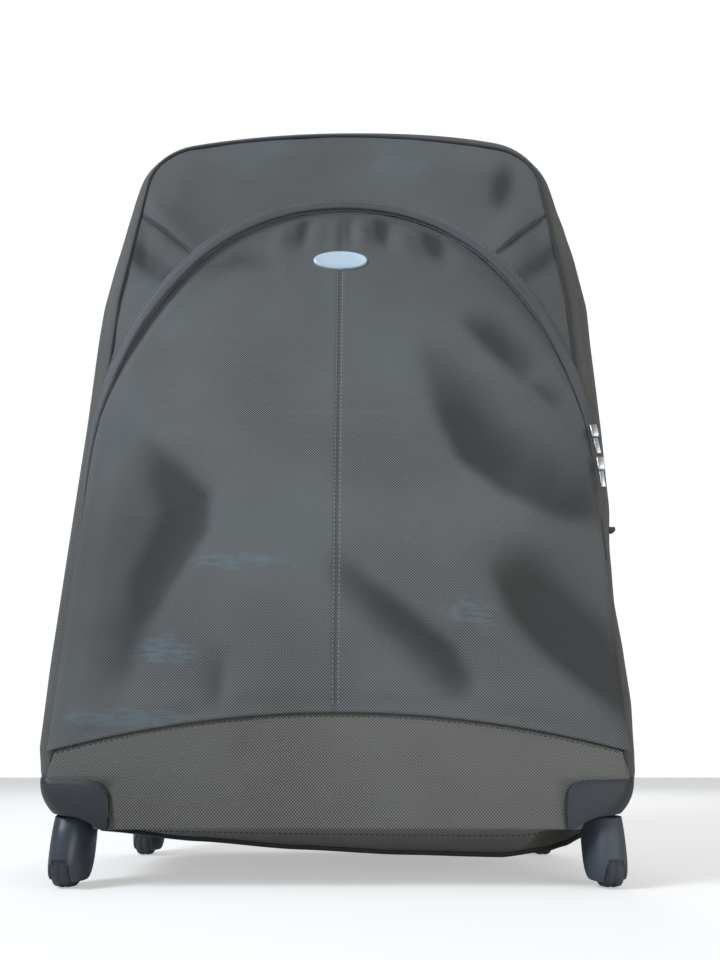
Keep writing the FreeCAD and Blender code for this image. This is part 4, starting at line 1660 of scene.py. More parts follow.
@dataclass
class Bands:
    """The cloth bands round the lid and the case, their piping and the main zip."""

    bag: Bag
    second_seam: float = 0.30
    hinge_reach: float = 0.010
    hinge_bow: float = 0.0014
    bend_reach: float = 0.005
    front_piping: float = 1.7 * MM
    side_piping: float = 1.5 * MM
    back_piping: float = 1.8 * MM
    back_inset: float = 0.0035
    zip_end: float = 0.80
    zip_offset: float = 0.0022
    zip_radius: float = 1.9 * MM
    wire_radius: float = 2.3 * MM
    wire_foot: float = 0.090
    tab_height: float = 0.2945

    def slack(self, s: float, y: float, y0: float, y1: float, seed: float) -> float:
        """How a band bulges and sags between its two seams.

        Args:
            s: Share along the outline.
            y: Depth.
            y0: The first seam's depth.
            y1: The second seam's depth.
            seed: Picks the noise.

        Returns:
            The lift, in metres.
        """
        share = min(1.0, max(0.0, (y - y0) / (y1 - y0)))
        bow = math.sin(math.pi * share)
        return 0.0022 * bow + 0.0012 * bow * drift(s * 14, share * 1.6, 1.0, seed)

    def swell(self, x: float, z: float, run: float, whole: float) -> float:
        """The lid band's swell, fullest near the front and gone at the zip."""
        return self.bag.bulge(x, z) * smooth(0.0, 0.020, run) * (1 - smooth(0.34, 0.86, run / whole))

    def lid_place(self, u: float, v: float) -> Vector:
        """A place on the lid's band, from the front piping round the edge to the zip.

        Args:
            u: Share across.
            v: Share along.

        Returns:
            The place in space.
        """
        bag = self.bag
        x, z, nx, nz = bag.outline.at(u)
        start = bag.edge - bag.seam_inset
        curve = bag.edge * math.pi / 2 - start
        end = bag.split - 0.004
        straight = end - (bag.front + bag.edge)
        run = v * (curve + straight)
        inside = bag.seam_inset - run
        swell = self.swell(x, z, run, curve + straight)
        z += 0.010 * (1 - smooth(bag.outline.foot, 0.078, z))
        under = (1 - smooth(0.058, 0.066, run)) * (1 - smooth(0.073, bag.guard_top + 0.002, z))
        hidden = -0.0030 - bag.tuck(z)
        if run <= curve:
            return bag.wrap(x - nx * inside, z - nz * inside, mix(0.0002 + swell, hidden, under))
        y = bag.front + bag.edge + run - curve
        lift = self.slack(u, y, bag.front + bag.edge, end, 4.0) + 0.0002 + swell
        lift = mix(lift, hidden, under)
        return Vector((x + nx * lift, y, z + nz * lift))

    def case_place(self, u: float, v: float) -> Vector:
        """A place on the case's band, from the zip round the back edge.

        Args:
            u: Share across.
            v: Share along.

        Returns:
            The place in space.
        """
        bag = self.bag
        x, z, nx, nz = bag.outline.at(u)
        z += 0.0020 * (1 - smooth(bag.outline.foot, 0.075, z))
        start = bag.split + 0.004
        flat_end = bag.back - bag.edge
        curve = bag.edge * math.pi / 2
        run = v * (flat_end - start + curve)
        if run <= flat_end - start:
            y = start + run
            soft = mix(0.10, 1.0, smooth(-0.22, -0.12, x))
            lift = soft * self.slack(u, y, start, flat_end, 9.0)
            lift += 0.5 * soft * bag.bulge(x, z) * math.sin(math.pi * run / (flat_end - start))
            return Vector((x + nx * lift, y, z + nz * lift))
        angle = (run - (flat_end - start)) / bag.edge
        inward = bag.edge * (1 - math.cos(angle))
        return Vector((x - nx * inward, flat_end + bag.edge * math.sin(angle), z - nz * inward))

    def hinge_strip(self) -> None:
        """The cloth on the left side that the lid swings on."""
        bag = self.bag
        low, high = bag.outline.foot + 0.012, bag.outline.corner[1] - 0.010

        def flat(u: float, v: float) -> Point:
            """The strip's flat pattern."""
            return mix(-self.hinge_reach, self.hinge_reach, u), mix(low, high, v)

        def place(u: float, v: float) -> Vector:
            """A place on the strip, bowed out over the hinge line.

            Args:
                u: Share across.
                v: Share along.

            Returns:
                The place in space.
            """
            across, z = flat(u, v)
            x = -bag.outline.half_width + max(0.0, z - bag.outline.waist) * math.tan(bag.outline.lean)
            bow = self.hinge_bow * math.cos(across / self.hinge_reach * math.pi / 2)
            return Vector((x - 0.0012 - bow, bag.split + across, z))

        bm = sheet_mesh(24, 60, place, flat)
        face_towards(bm, lambda _: Vector((-1, 0, 0)))
        strip = link("hinge_cloth", bm, SIDE, Slot.SHELL, None)
        thicken(strip, 0.9 * MM)
        x = -bag.outline.half_width
        start, end = (x, bag.split + self.bend_reach, 0.4), (x, bag.split - self.bend_reach, 0.4)
        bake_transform(strip)
        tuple(start)
        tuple(end)

    def frame_wire(self) -> None:
        """The steel wire that keeps the lid's front edge in shape."""
        low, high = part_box("lid_frame")
        y = (low.y + high.y) / 2
        sides = [point for point in self.rim(0.0, 1.0, 0.0067, y) if point.z > self.wire_foot]
        corner = [(0.2385, 0.082), (0.2365, 0.074), (0.2325, 0.067), (0.2260, 0.0630), (0.2150, 0.0620)]
        left = [Vector((-x, y, z)) for x, z in corner]
        right = [Vector((x, y, z)) for x, z in reversed(corner)]
        wire = tube_along(sides + left + right, self.wire_radius, 10, closed=True)
        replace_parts(link("lid_frame_wire", wire, STEEL, Slot.STEEL, "lid"), "lid_frame")

    def worn_tab(self) -> None:
        """A small frayed leather tab caught in the right side's seam."""
        bag = self.bag
        z = self.tab_height
        x = bag.outline.half_width + bag.bulge(0.24, z)
        bm = rounded_block(Vector((x - 0.004, bag.front + 0.014, z - 0.0022)),
                           Vector((x + 0.0065, bag.front + 0.024, z + 0.0022)), 0.0012)
        link("worn_tab", bm, LEATHER, Slot.WEBBING, "lid")

    def rim(self, s0: float, s1: float, inset: float, y: float, count: int = 260) -> list[Vector]:
        """Points along the outline at one depth.

        Args:
            s0: First share along the outline.
            s1: Last share.
            inset: How far inside it.
            y: Depth.
            count: Steps.

        Returns:
            The points.
        """
        points = []
        for s in spread(s0, s1, count):
            x, z, nx, nz = self.bag.outline.at(s)
            points.append(Vector((x - nx * inset, y, z - nz * inset)))
        return points

    def build(self) -> None:
        """Makes both bands, their linings, the piping and the zip."""
        length = self.bag.outline.length

        def out(point: Vector) -> Vector:
            """The way out of the bag at a point."""
            _, nx, nz = self.bag.outline.inset(point.x, point.z)
            return Vector((nx, 0, nz))

        for name, node, place, body, depth in (
            ("lid_band_cloth", "lid_band", self.lid_place, "lid", 0.085),
            ("case_band_cloth", "case_band", self.case_place, "case", 0.230),
        ):
            bm = sheet_mesh(320, 30, place, even(length, depth))
            face_towards(bm, out)
            cloth = link(name, bm, SIDE, Slot.SHELL, body)
            thicken(cloth, 1.6 * MM)
            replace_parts(cloth, node)

        for name, body, y0, y1 in (
            ("lid_lining", "lid", self.bag.front + 0.006, self.bag.split - 0.005),
            ("case_lining", "case", self.bag.split + 0.005, self.bag.back - 0.005),
        ):
            def lined(u: float, v: float, a: float = y0, b: float = y1) -> Vector:
                """A place on a lining, between two depths.

                Args:
                    u: Share across.
                    v: Share along.
                    a: The first depth.
                    b: The last depth.

                Returns:
                    The place in space.
                """
                x, z, nx, nz = self.bag.outline.at(u)
                inset = 0.0042 + 0.0010 * drift(u * 30, v * 3, 1.0, 2.0)
                rise = 0.028 if b < self.bag.split else 0.004
                z += rise * (1 - smooth(self.bag.outline.foot, 0.095, z))
                return Vector((x - nx * inset, mix(a, b, v), z - nz * inset))

            bm = sheet_mesh(260, 12, lined, even(length, 0.2))
            face_towards(bm, lambda p: -out(p))
            thicken(link(name, bm, LINING, Slot.LINING, body), 0.7 * MM)

        seam = []
        for s in spread(0.0, 1.0, 320):
            x, z, nx, nz = self.bag.outline.at(s)
            inside = self.bag.seam_inset
            if z > self.bag.guard_top - 0.008:
                seam.append(self.bag.wrap(x - nx * inside, z - nz * inside, 0.0010))
        link("front_piping", tube_along(seam, self.front_piping, 10), PIPING, Slot.FLAP, "lid")
        second = [self.lid_place(u, self.second_seam) for u in spread(0.0, 1.0, 320)]
        second = [point for point in second if point.z > self.bag.guard_top - 0.008]
        link("side_piping", tube_along(second, self.side_piping, 8), PIPING, Slot.FLAP, "lid")
        self.hinge_strip()
        self.frame_wire()
        self.worn_tab()
        edge = self.rim(0.0, 1.0, self.back_inset, self.bag.back - self.back_inset)
        link("back_piping", tube_along(edge, self.back_piping, 10), PIPING, Slot.FLAP, "case")
        for name, node, body, y in (
            ("lid_zip_coil", "zip_lid_half", "lid", self.bag.split - self.zip_offset),
            ("case_zip_coil", "zip_case_half", "case", self.bag.split + self.zip_offset),
        ):
            bm = tube_along(self.rim(0.0, self.zip_end, 0.0008, y), self.zip_radius, 8)
            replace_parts(link(name, bm, TEETH, Slot.ZIP_TEETH, body), node)


@dataclass
class Underside:
    """The cloth under the lid and the tray under the case."""

    bag: Bag

    def lid_place(self, u: float, v: float) -> Vector:
        """A place under the lid: from the front edge down to the belly's piping.

        Args:
            u: Share across.
            v: Share along.

        Returns:
            The place in space.
        """
        bag = self.bag
        y = mix(bag.front + 0.001, bag.split - 0.005, v)
        half = bag.outline.half_width - mix(0.009, 0.002, smooth(0.058, 0.070, y - bag.front))
        x = mix(-half, half, u)
        y = max(y, bag.front + 0.001 + 0.024 * smooth(0.196, 0.228, abs(x)))
        front = mix(bag.front_foot, bag.outline.foot, smooth(0.176, 0.192, abs(x)))
        front += 0.009 * smooth(0.214, 0.234, abs(x))
        drop = smooth(0.0, 1.0, v) * 0.65 + 0.35 * v
        drop = mix(drop, smooth(0.72, 1.0, v), smooth(0.150, 0.182, abs(x)))
        return Vector((x, y, mix(front, bag.belly_at(x), drop)))

    def case_place(self, u: float, v: float) -> Vector:
        """A place under the case, from the split to the back edge.

        Args:
            u: Share across.
            v: Share along.

        Returns:
            The place in space.
        """
        bag = self.bag
        half = bag.outline.half_width - 0.003
        x = mix(-half, half, u)
        y = mix(bag.split + 0.005, bag.back - 0.003, v)
        sag = 0.0015 * math.sin(math.pi * v)
        level = smooth(0.40, 0.56, v) * smooth(0.140, 0.172, abs(x))
        return Vector((x, y, mix(bag.belly_at(x) + 0.001 - sag, bag.outline.foot + 0.0030, level)))

    def build(self) -> None:
        """Makes both undersides and the piping between them."""
        half = self.bag.outline.half_width

        for name, node, place, body in (
            ("lid_belly_cloth", "lid_floor", self.lid_place, "lid"),
            ("case_belly_cloth", "base_tray", self.case_place, "case"),
        ):
            bm = sheet_mesh(160, 24, place, even(2 * half, 0.2))
            face_towards(bm, lambda _: Vector((0, 0, -1)))
            cloth = link(name, bm, BELLY, Slot.SHELL, body)
            thicken(cloth, 2.0 * MM)
            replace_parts(cloth, node)

        across = spread(0.0, 1.0, 160)
        edge = [self.lid_place(u, 0.995) + Vector((0, 0, -0.0012)) for u in across]
        link("belly_piping", tube_along(edge, 2.4 * MM, 10), PIPING, Slot.FLAP, "lid")
        coil = [self.case_place(u, 0.0) + Vector((0, -0.002, 0)) for u in across]
        link("belly_zip_coil", tube_along(coil, 1.9 * MM, 8), TEETH, Slot.ZIP_TEETH, "case")
        row = bmesh.new()
        line = [self.lid_place(u, 0.30) + Vector((0, 0, -0.0004)) for u in spread(0.14, 0.86, 160)]
        stitches(row, line, 4.4 * MM, 0.45 * MM)
        link("belly_thread", row, DARK_THREAD, Slot.SHELL, "lid")


@dataclass
class BackFace:
    """The flat back: stiffened cloth with two long skid rails."""

    bag: Bag
    margin: float = 0.010
    round_share: float = 0.86
    middle_height: float = 0.35
    rail_width: float = 0.014

    def build(self) -> None:
        """Makes the back cloth and the rails."""
        bag = self.bag
        outline = bag.outline
        half = outline.half_width - self.margin
        round_share = self.round_share

        def hem(t: float) -> Point:
            """A place on the back's lower edge.

            Args:
                t: Share across.

            Returns:
                The place's x and z.
            """
            x = mix(-half, half, t)
            painted_shade = min(outline.foot, bag.belly_at(x) + 0.002)
            level = outline.foot + 0.0035 * smooth(half, half - 0.008, abs(x))
            return x, mix(painted_shade, level, smooth(0.135, 0.172, abs(x)))

        def flat(u: float, v: float) -> Point:
            """The flat pattern: a fan from the rim to the middle.

            Args:
                u: Share across.
                v: Share along.

            Returns:
                The flat pattern's place.
            """
            if u <= round_share:
                x, z, nx, nz = outline.at(u / round_share)
                x, z = x - nx * self.margin, z - nz * self.margin
            else:
                x, z = hem((u - round_share) / (1 - round_share))
            return mix(x, 0.0, v), mix(z, self.middle_height, v)

        def place(u: float, v: float) -> Vector:
            """A place on the back, with a little slack.

            Args:
                u: Share across.
                v: Share along.

            Returns:
                The place in space.
            """
            x, z = flat(u, v)
            inside = outline.inset(x, z)[0]
            puff = 0.0016 * drift(x, z, 0.09, 31.0) * smooth(0.01, 0.06, inside)
            return Vector((x, bag.back - 0.0005 + puff * 0.6, z))

        bm = sheet_mesh(280, 40, place, flat)
        bmesh.ops.remove_doubles(bm, verts=bm.verts[:], dist=MERGE_STEP)
        face_towards(bm, lambda _: Vector((0, 1, 0)))
        cloth = link("back_cloth", bm, SIDE, Slot.SHELL, "case")
        thicken(cloth, 3.0 * MM)
        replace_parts(cloth, "back_board")
        edge = [Vector((x, bag.back - 0.0015, z)) for x, z in map(hem, spread(0.0, 1.0, 120))]
        link("back_hem", tube_along(edge, 1.8 * MM, 10), PIPING, Slot.FLAP, "case")
        low_corner, high_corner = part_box("rear_skids")
        rails = bmesh.new()
        for x in (high_corner.x - self.rail_width, low_corner.x):
            merge(rails, rounded_block(
                Vector((x, low_corner.y, low_corner.z)),
                Vector((x + self.rail_width, high_corner.y, high_corner.z)), 0.0045, 4))
        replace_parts(link("skid_rails", rails, GUARD, Slot.GUARD, "case"), "rear_skids")


# --- guards and casters ---


def quarter_drop(run: float, radius: float) -> float:
    """How far an edge has dropped, near its end, where a quarter circle rounds it off."""
    return radius - math.sqrt(max(0.0, radius**2 - (radius - min(run, radius)) ** 2))


@dataclass
class CornerGuard:
    """A moulded guard that wraps one lower corner."""

    bag: Bag
    side: int
    rear: bool
    top_round: float = 0.022
    end_round: float = 0.012
    corner: float = 0.014
    depth: float = 0.054
    wall: float = 0.0032

    @property
    def stand(self) -> float:
        """How far the guard stands off the bag's side."""
        return 0.0042 if self.rear else (0.0004 if self.side > 0 else 0.0024)

    def build(self) -> None:
        """Makes the guard's shell."""
        place_name = "rear" if self.rear else "front"
        hand = "right" if self.side > 0 else "left"
        node = f"{place_name}_guard_{hand}"
        low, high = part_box(node)
        top, inner = high.z, min(abs(low.x), abs(high.x))
        half = self.bag.outline.half_width
        arc = self.corner * math.pi / 2
        face = half - inner - self.corner
        total = face + arc + self.depth
        foot = self.bag.outline.foot

        def heights(run: float) -> Point:
            """The guard's lower and upper edge.

            Args:
                run: Metres from its front end.

            Returns:
                Both heights.
            """
            round_off = quarter_drop(run, self.top_round)
            rear_round = quarter_drop(total - run, self.end_round)
            if self.rear:
                under = foot + 0.0088
            else:
                under = mix(self.bag.front_foot, foot + 0.0002, smooth(0.0, 0.052, run))
                under += 0.0025 * smooth(face - 0.006, face + 0.022, run)
            return under, top - max(round_off, rear_round)

        def place(u: float, v: float) -> Vector:
            """A place on the guard: its face, its corner, then its side.

            Args:
                u: Share across.
                v: Share along.

            Returns:
                The place in space.
            """
            run = u * total
            bottom, upper = heights(run)
            z = mix(bottom, upper, v)
            puff = 0.0046 * (0.72 + 0.28 * math.sin(math.pi * v)) - 0.0016 * smooth(0.86, 1.0, v)
            edge = half + self.stand - (0.0 if self.rear else self.bag.tuck(z))
            bend = self.corner if self.rear else min(0.026, mix(0.012, 0.024, (top - z) / (top - foot)))
            if run < face:
                x, y = mix(inner, edge - bend, run / face), self.bag.front - puff
            elif run < face + arc:
                angle = (run - face) / arc * math.pi / 2
                x = edge - bend + bend * math.sin(angle)
                y = self.bag.front + bend - (bend + puff) * math.cos(angle)
            else:
                x = edge
                end = self.bag.front + self.corner + self.depth
                y = mix(self.bag.front + bend, end, (run - face - arc) / self.depth)
            if self.rear:
                y = self.bag.back - (y - self.bag.front)
            return Vector((self.side * x, y, z))

        bm = sheet_mesh(72, 16, place, even(total, 0.04))
        face_towards(bm, lambda p: Vector((p.x, p.y, 0)).normalized())
        guard = link(f"{node}_shell", bm, GUARD, Slot.GUARD, "case" if self.rear else "lid")
        thicken(guard, self.wall)
        soft = guard.modifiers.new("soft edges", "BEVEL")
        soft.width = 0.9 * MM
        soft.segments = 2
        soft.limit_method = "ANGLE"
        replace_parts(guard, node)


HOOD_LEVELS: tuple[tuple[float, float, float, float, float], ...] = (
    (0.0, 0.82, -0.0318, 0.0112, 0.0004), (0.004, 0.84, -0.0332, 0.0115, 0.0007),
    (0.010, 0.85, -0.0355, 0.0115, 0.0011), (0.019, 0.86, -0.0374, 0.0105, 0.0017),
    (0.027, 0.86, -0.0384, 0.0095, 0.0022), (0.034, 0.85, -0.0384, 0.0080, 0.0025),
    (0.040, 0.82, -0.0370, 0.0060, 0.0027), (0.0445, 0.76, -0.0338, 0.0030, 0.0028),
    (0.0466, 0.66, -0.0303, 0.0000, 0.0028),
)
TREAD_HALF: tuple[Point, ...] = (
    (1.0, 0.66), (1.0, 0.90), (0.86, 0.965), (0.42, 0.995), (0.20, 1.0), (0.12, 0.975))
HUB_HALF: tuple[Point, ...] = (
    (1.06, 0.0), (1.06, 0.20), (0.82, 0.24), (0.72, 0.56), (0.98, 0.60), (0.98, 0.658))


@dataclass
class Caster:
    """One hooded caster: fork, hub and tyre."""

    name: str
    trail: float = 0.012
    around: int = 48
    roundness: float = 0.86
    notch_height: float = 0.021
    notch_side: float = 0.0016
    wall: float = 2.2 * MM

    def ring(self, z: float, half: float, front: float, back: float, shift: float) -> list[Vector]:
        """One level of the hood, an oval box in plan, moved towards the bag's middle.

        Args:
            z: Height.
            half: Half its width.
            front: Its front, from the swivel.
            back: Its back, from the swivel.
            shift: How far it is moved inwards.

        Returns:
            The points.
        """
        points = []
        inward = -shift if "right" in self.name else shift
        middle = (front + back) / 2
        deep = (back - front) / 2
        for i in range(self.around):
            angle = math.tau * i / self.around
            c, s = math.cos(angle), math.sin(angle)
            px = half * math.copysign(abs(c) ** self.roundness, c) + inward
            py = middle + deep * math.copysign(abs(s) ** self.roundness, s)
            points.append(Vector((px, py, z)))
        return points

    def build(self) -> None:
        """Makes the hood, the tyre and the hub."""
        low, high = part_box(f"{self.name}_fork")
        tyre_low, tyre_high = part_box(f"{self.name}_tyre")
        axle = (tyre_low + tyre_high) / 2
        wheel_radius = (tyre_high.z - tyre_low.z) / 2
        swivel = Vector((axle.x, axle.y + self.trail, 0.0))
        half = (high.x - low.x) / 2
        levels = [(high.z - down, share * half, *rest) for down, share, *rest in HOOD_LEVELS]
        slot = (tyre_high.x - tyre_low.x) / 2 + self.notch_side
        bm = bmesh.new()
        loops = []
        for level in levels:
            made = bmesh.ops.create_circle(bm, cap_ends=False, segments=self.around, radius=1.0)
            verts = made["verts"]
            for v, point in zip(verts, self.ring(*level)):
                v.co = point + swivel
            loops.append(list({e for v in verts for e in v.link_edges}))
        for a, b in zip(loops, loops[1:]):
            bmesh.ops.bridge_loops(bm, edges=a + b)
        bmesh.ops.subdivide_edges(bm, edges=bm.edges[:], cuts=1, use_grid_fill=True)
        notch_top = tyre_low.z + self.notch_height

        def in_notch(point: Vector) -> bool:
            """Whether a point lies in the notch for the tyre.

            Args:
                point: A face's middle.

            Returns:
                True inside the notch.
            """
            near = abs(point.x - swivel.x) < slot
            arch = notch_top - 0.010 * ((point.x - swivel.x) / slot) ** 4
            return near and point.y < swivel.y - self.trail and point.z < arch

        gone = [f for f in bm.faces if in_notch(f.calc_center_median())]
        bmesh.ops.delete(bm, geom=gone, context="FACES")
        cap = bmesh.ops.create_circle(bm, cap_ends=True, segments=self.around, radius=1.0)
        for v, point in zip(cap["verts"], self.ring(*levels[0])):
            v.co = point + swivel
        bmesh.ops.remove_doubles(bm, verts=bm.verts[:], dist=MERGE_STEP)
        bmesh.ops.recalc_face_normals(bm, faces=bm.faces[:])
        face_towards(bm, lambda p: Vector((p.x - swivel.x, p.y - swivel.y + 0.01, 0)))
        hood = link(f"{self.name}_hood", bm, HOOD, Slot.GUARD, f"{self.name}_caster")
        thicken(hood, self.wall)
        soft = hood.modifiers.new("rounded", "SUBSURF")
        soft.levels = 1
        soft.render_levels = 1
        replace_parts(hood, f"{self.name}_fork")
        self.wheel(axle, wheel_radius, (tyre_high.x - tyre_low.x) / 2)

    def wheel(self, axle: Vector, radius: float, half: float) -> None:
        """Turns the tyre and the hub from their half sections.

        Args:
            axle: The wheel's middle.
            radius: The tyre's radius.
            half: Half the tyre's width.
        """
        for part, finish, slot, node, left in (
            ("tread", TYRE, Slot.TYRE, f"{self.name}_tyre", TREAD_HALF),
            ("wheel_hub", PLASTIC, Slot.PLASTIC, f"{self.name}_hub", HUB_HALF),
        ):
            bm = bmesh.new()
            section = [(-half * x, share) for x, share in left]
            section += [(half * x, share) for x, share in reversed(left)]
            verts = [bm.verts.new(axle + Vector((x, 0.0, share * radius))) for x, share in section]
            pairs = list(zip(verts, verts[1:]))
            if part == "tread":
                pairs.append((verts[-1], verts[0]))
            edges = [bm.edges.new(pair) for pair in pairs]
            bmesh.ops.spin(
                bm, geom=verts + edges, cent=axle, axis=(1, 0, 0), angle=math.tau, steps=self.around,
                use_merge=True)
            bmesh.ops.remove_doubles(bm, verts=bm.verts[:], dist=FINE_STEP)
            bmesh.ops.recalc_face_normals(bm, faces=bm.faces[:])
            piece = link(f"{self.name}_{part}", bm, finish, slot, f"{self.name}_wheel")
            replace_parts(piece, node)


# --- handles, trolley and small metal ---


BADGE_STEPS: tuple[Point, ...] = (
    (1.0, -0.0040), (1.0, 0.0010), (0.95, 0.0018), (0.90, 0.0020), (0.87, 0.0015), (0.5, 0.0021),
    (0.02, 0.0023))


def cad_nodes() -> dict[str, Piece]:
    """The CAD objects that were loaded, by node name."""
    return {o["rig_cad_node"]: o for o in bpy.data.objects if "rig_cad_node" in o}


@dataclass
class Trim:
    """Handles, the trolley, the badge and the zip sliders."""

    bag: Bag
    strap_thick: float = 0.0075
    foot_thick: float = 0.006
    foot_inset: float = 0.004
    foot_round: float = 0.0015
    pull_round: float = 0.5 * MM
    slider_round: float = 1.2 * MM
    flat_angle: float = 0.02

    def top_handle(self) -> None:
        """A padded strap handle that bows between its brackets."""
        low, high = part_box("top_handle")
        half = high.x

        def place(u: float, v: float) -> Vector:
            """A place on the strap, an oval in section.

            Args:
                u: Share across.
                v: Share along.

            Returns:
                The place in space.
            """
            angle = math.tau * u
            t = v * 2 - 1
            x = half * t
            fat = mix(1.0, 0.62, smooth(0.62, 0.92, abs(t)))
            wide = (high.y - low.y) / 2 * mix(1.0, 0.80, smooth(0.60, 0.95, abs(t)))
            bow = high.z - 0.006 - 0.004 * smooth(0.80, 1.0, abs(t))
            c, s = math.cos(angle), math.sin(angle)
            return Vector((
                x,
                (low.y + high.y) / 2 + wide * math.copysign(abs(c) ** 0.6, c),
                bow + self.strap_thick / 2 * fat * math.copysign(abs(s) ** 0.7, s) * 1.1,
            ))

        bm = sheet_mesh(40, 60, place, even(0.07, 0.18))
        bmesh.ops.remove_doubles(bm, verts=bm.verts[:], dist=MERGE_STEP)
        bmesh.ops.holes_fill(bm, edges=[e for e in bm.edges if e.is_boundary], sides=0)
        bmesh.ops.recalc_face_normals(bm, faces=bm.faces[:])
        thick, inset = self.foot_thick, self.foot_inset
        for x in (half - thick, -half):
            near = Vector((x, low.y + inset, low.z))
            far = Vector((x + thick, high.y - inset, high.z - inset))
            merge(bm, rounded_block(near, far, self.foot_round))
        strap = link("top_handle_strap", bm, WEBBING, Slot.WEBBING, "top_carry_handle")
        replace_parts(strap, "top_handle")

    def side_handle(self) -> None:
        """A flat strap handle on the right side."""
        low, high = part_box("side_handle")
        bm = rounded_block(
            Vector((high.x - 0.0046, low.y, low.z)), Vector((high.x, high.y, high.z)), 0.0020, 4)
        inset = self.foot_inset
        for z in (low.z + 0.003, high.z - 0.009):
            near = Vector((low.x, low.y + inset, z))
            far = Vector((high.x - 0.003, high.y - inset, z + self.foot_thick))
            merge(bm, rounded_block(near, far, self.foot_round))
        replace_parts(link("side_handle_strap", bm, WEBBING, Slot.WEBBING, "side_carry_handle"), "side_handle")

    def dress(self) -> None:
        """Puts finishes on the CAD nodes that keep their shape."""
        groups = (
            (ALUMINIUM, ("trolley_outer_tubes", "trolley_inner_tubes")),
            (PLASTIC, ("trolley_foot", "trolley_bezel", "grip_lower_shell", "grip_upper_shell",
                       "release_button", "top_handle_brackets", "side_handle_brackets", "strap_buckles")),
            (STEEL, ("release_rods", "rear_kingpins", "front_kingpins")),
            (LINING, ("trolley_cover",)),
            (WEBBING, ("packing_straps",)),
            (PIPING, ("pocket_backing",)),
        )
        nodes = cad_nodes()
        for finish, names in groups:
            for name in names:
                mesh = nodes[name].data
                mesh.materials.clear()
                mesh.materials.append(finish.material())

    def badge(self) -> None:
        """A plain oval badge with a raised rim, laid on the pocket's cloth."""
        low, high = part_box("badge")
        middle, half = (low + high) / 2, (high - low) / 2
        pocket = PocketFace(self.bag)

        def under(across: float, up: float) -> float:
            """The cloth's lift under a place on the badge."""
            return pocket.lift(middle.x + across * half.x, middle.z + up * half.z)

        slope = (under(0.0, 1.0) - under(0.0, -1.0)) / (2 * half.z)
        spots = [(r * math.cos(a), r * math.sin(a)) for r in (0.3, 0.6, 0.8, 1.0)
                 for a in (math.tau * i / 24 for i in range(24))]
        stand = max(under(a, b) - slope * b * half.z for a, b in spots) + 0.0002
        bm = bmesh.new()
        rings = []
        for share, rise in BADGE_STEPS:
            flat = Matrix.Diagonal((half.x * share, half.z * share, 1, 1))
            turn = Matrix.Rotation(math.radians(90), 4, "X")
            made = bmesh.ops.create_circle(
                bm, cap_ends=share < 0.1, segments=64, radius=1.0,
                matrix=Matrix.Translation((middle.x, 0.0, middle.z)) @ turn @ flat)
            for v in made["verts"]:
                v.co.y = self.bag.front - stand - rise - slope * (v.co.z - middle.z)
            rings.append(list({e for v in made["verts"] for e in v.link_edges}))
        for a, b in zip(rings, rings[1:]):
            bmesh.ops.bridge_loops(bm, edges=a + b)
        bmesh.ops.recalc_face_normals(bm, faces=bm.faces[:])
        face_towards(bm, lambda _: FORWARD)
        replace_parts(link("badge_plate", bm, BADGE, Slot.BADGE, "pocket_cover"), "badge")

    def sliders(self) -> None:
        """Zip sliders and pulls, rounded from their CAD blocks."""
        nodes = cad_nodes()
        for tag in ("main_zip_a", "main_zip_b", "pocket_zip_a", "pocket_zip_b"):
            for part, body, rounding in (
                ("slider", "runner", self.slider_round), ("pull", "tab", self.pull_round),
            ):
                source = nodes[f"{tag}_{part}"]
                bm = bmesh.new()
                bm.from_mesh(source.data)
                bmesh.ops.remove_doubles(bm, verts=bm.verts[:], dist=FINE_STEP)
                bmesh.ops.dissolve_limit(
                    bm, angle_limit=self.flat_angle, verts=bm.verts[:], edges=bm.edges[:])
                bmesh.ops.bevel(
                    bm, geom=bm.edges[:], offset=rounding, segments=3, profile=0.5, affect="EDGES",
                    material=-1)
                piece = link(f"{tag}_{part}_metal", bm, CHROME, Slot.ZIP_METAL, f"{tag}_{body}")
                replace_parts(piece, f"{tag}_{part}")

    def build(self) -> None:
        """Makes every piece of the trim."""
        self.dress()
        self.top_handle()
        self.side_handle()
        self.badge()
        self.sliders()


# --- the scene ---


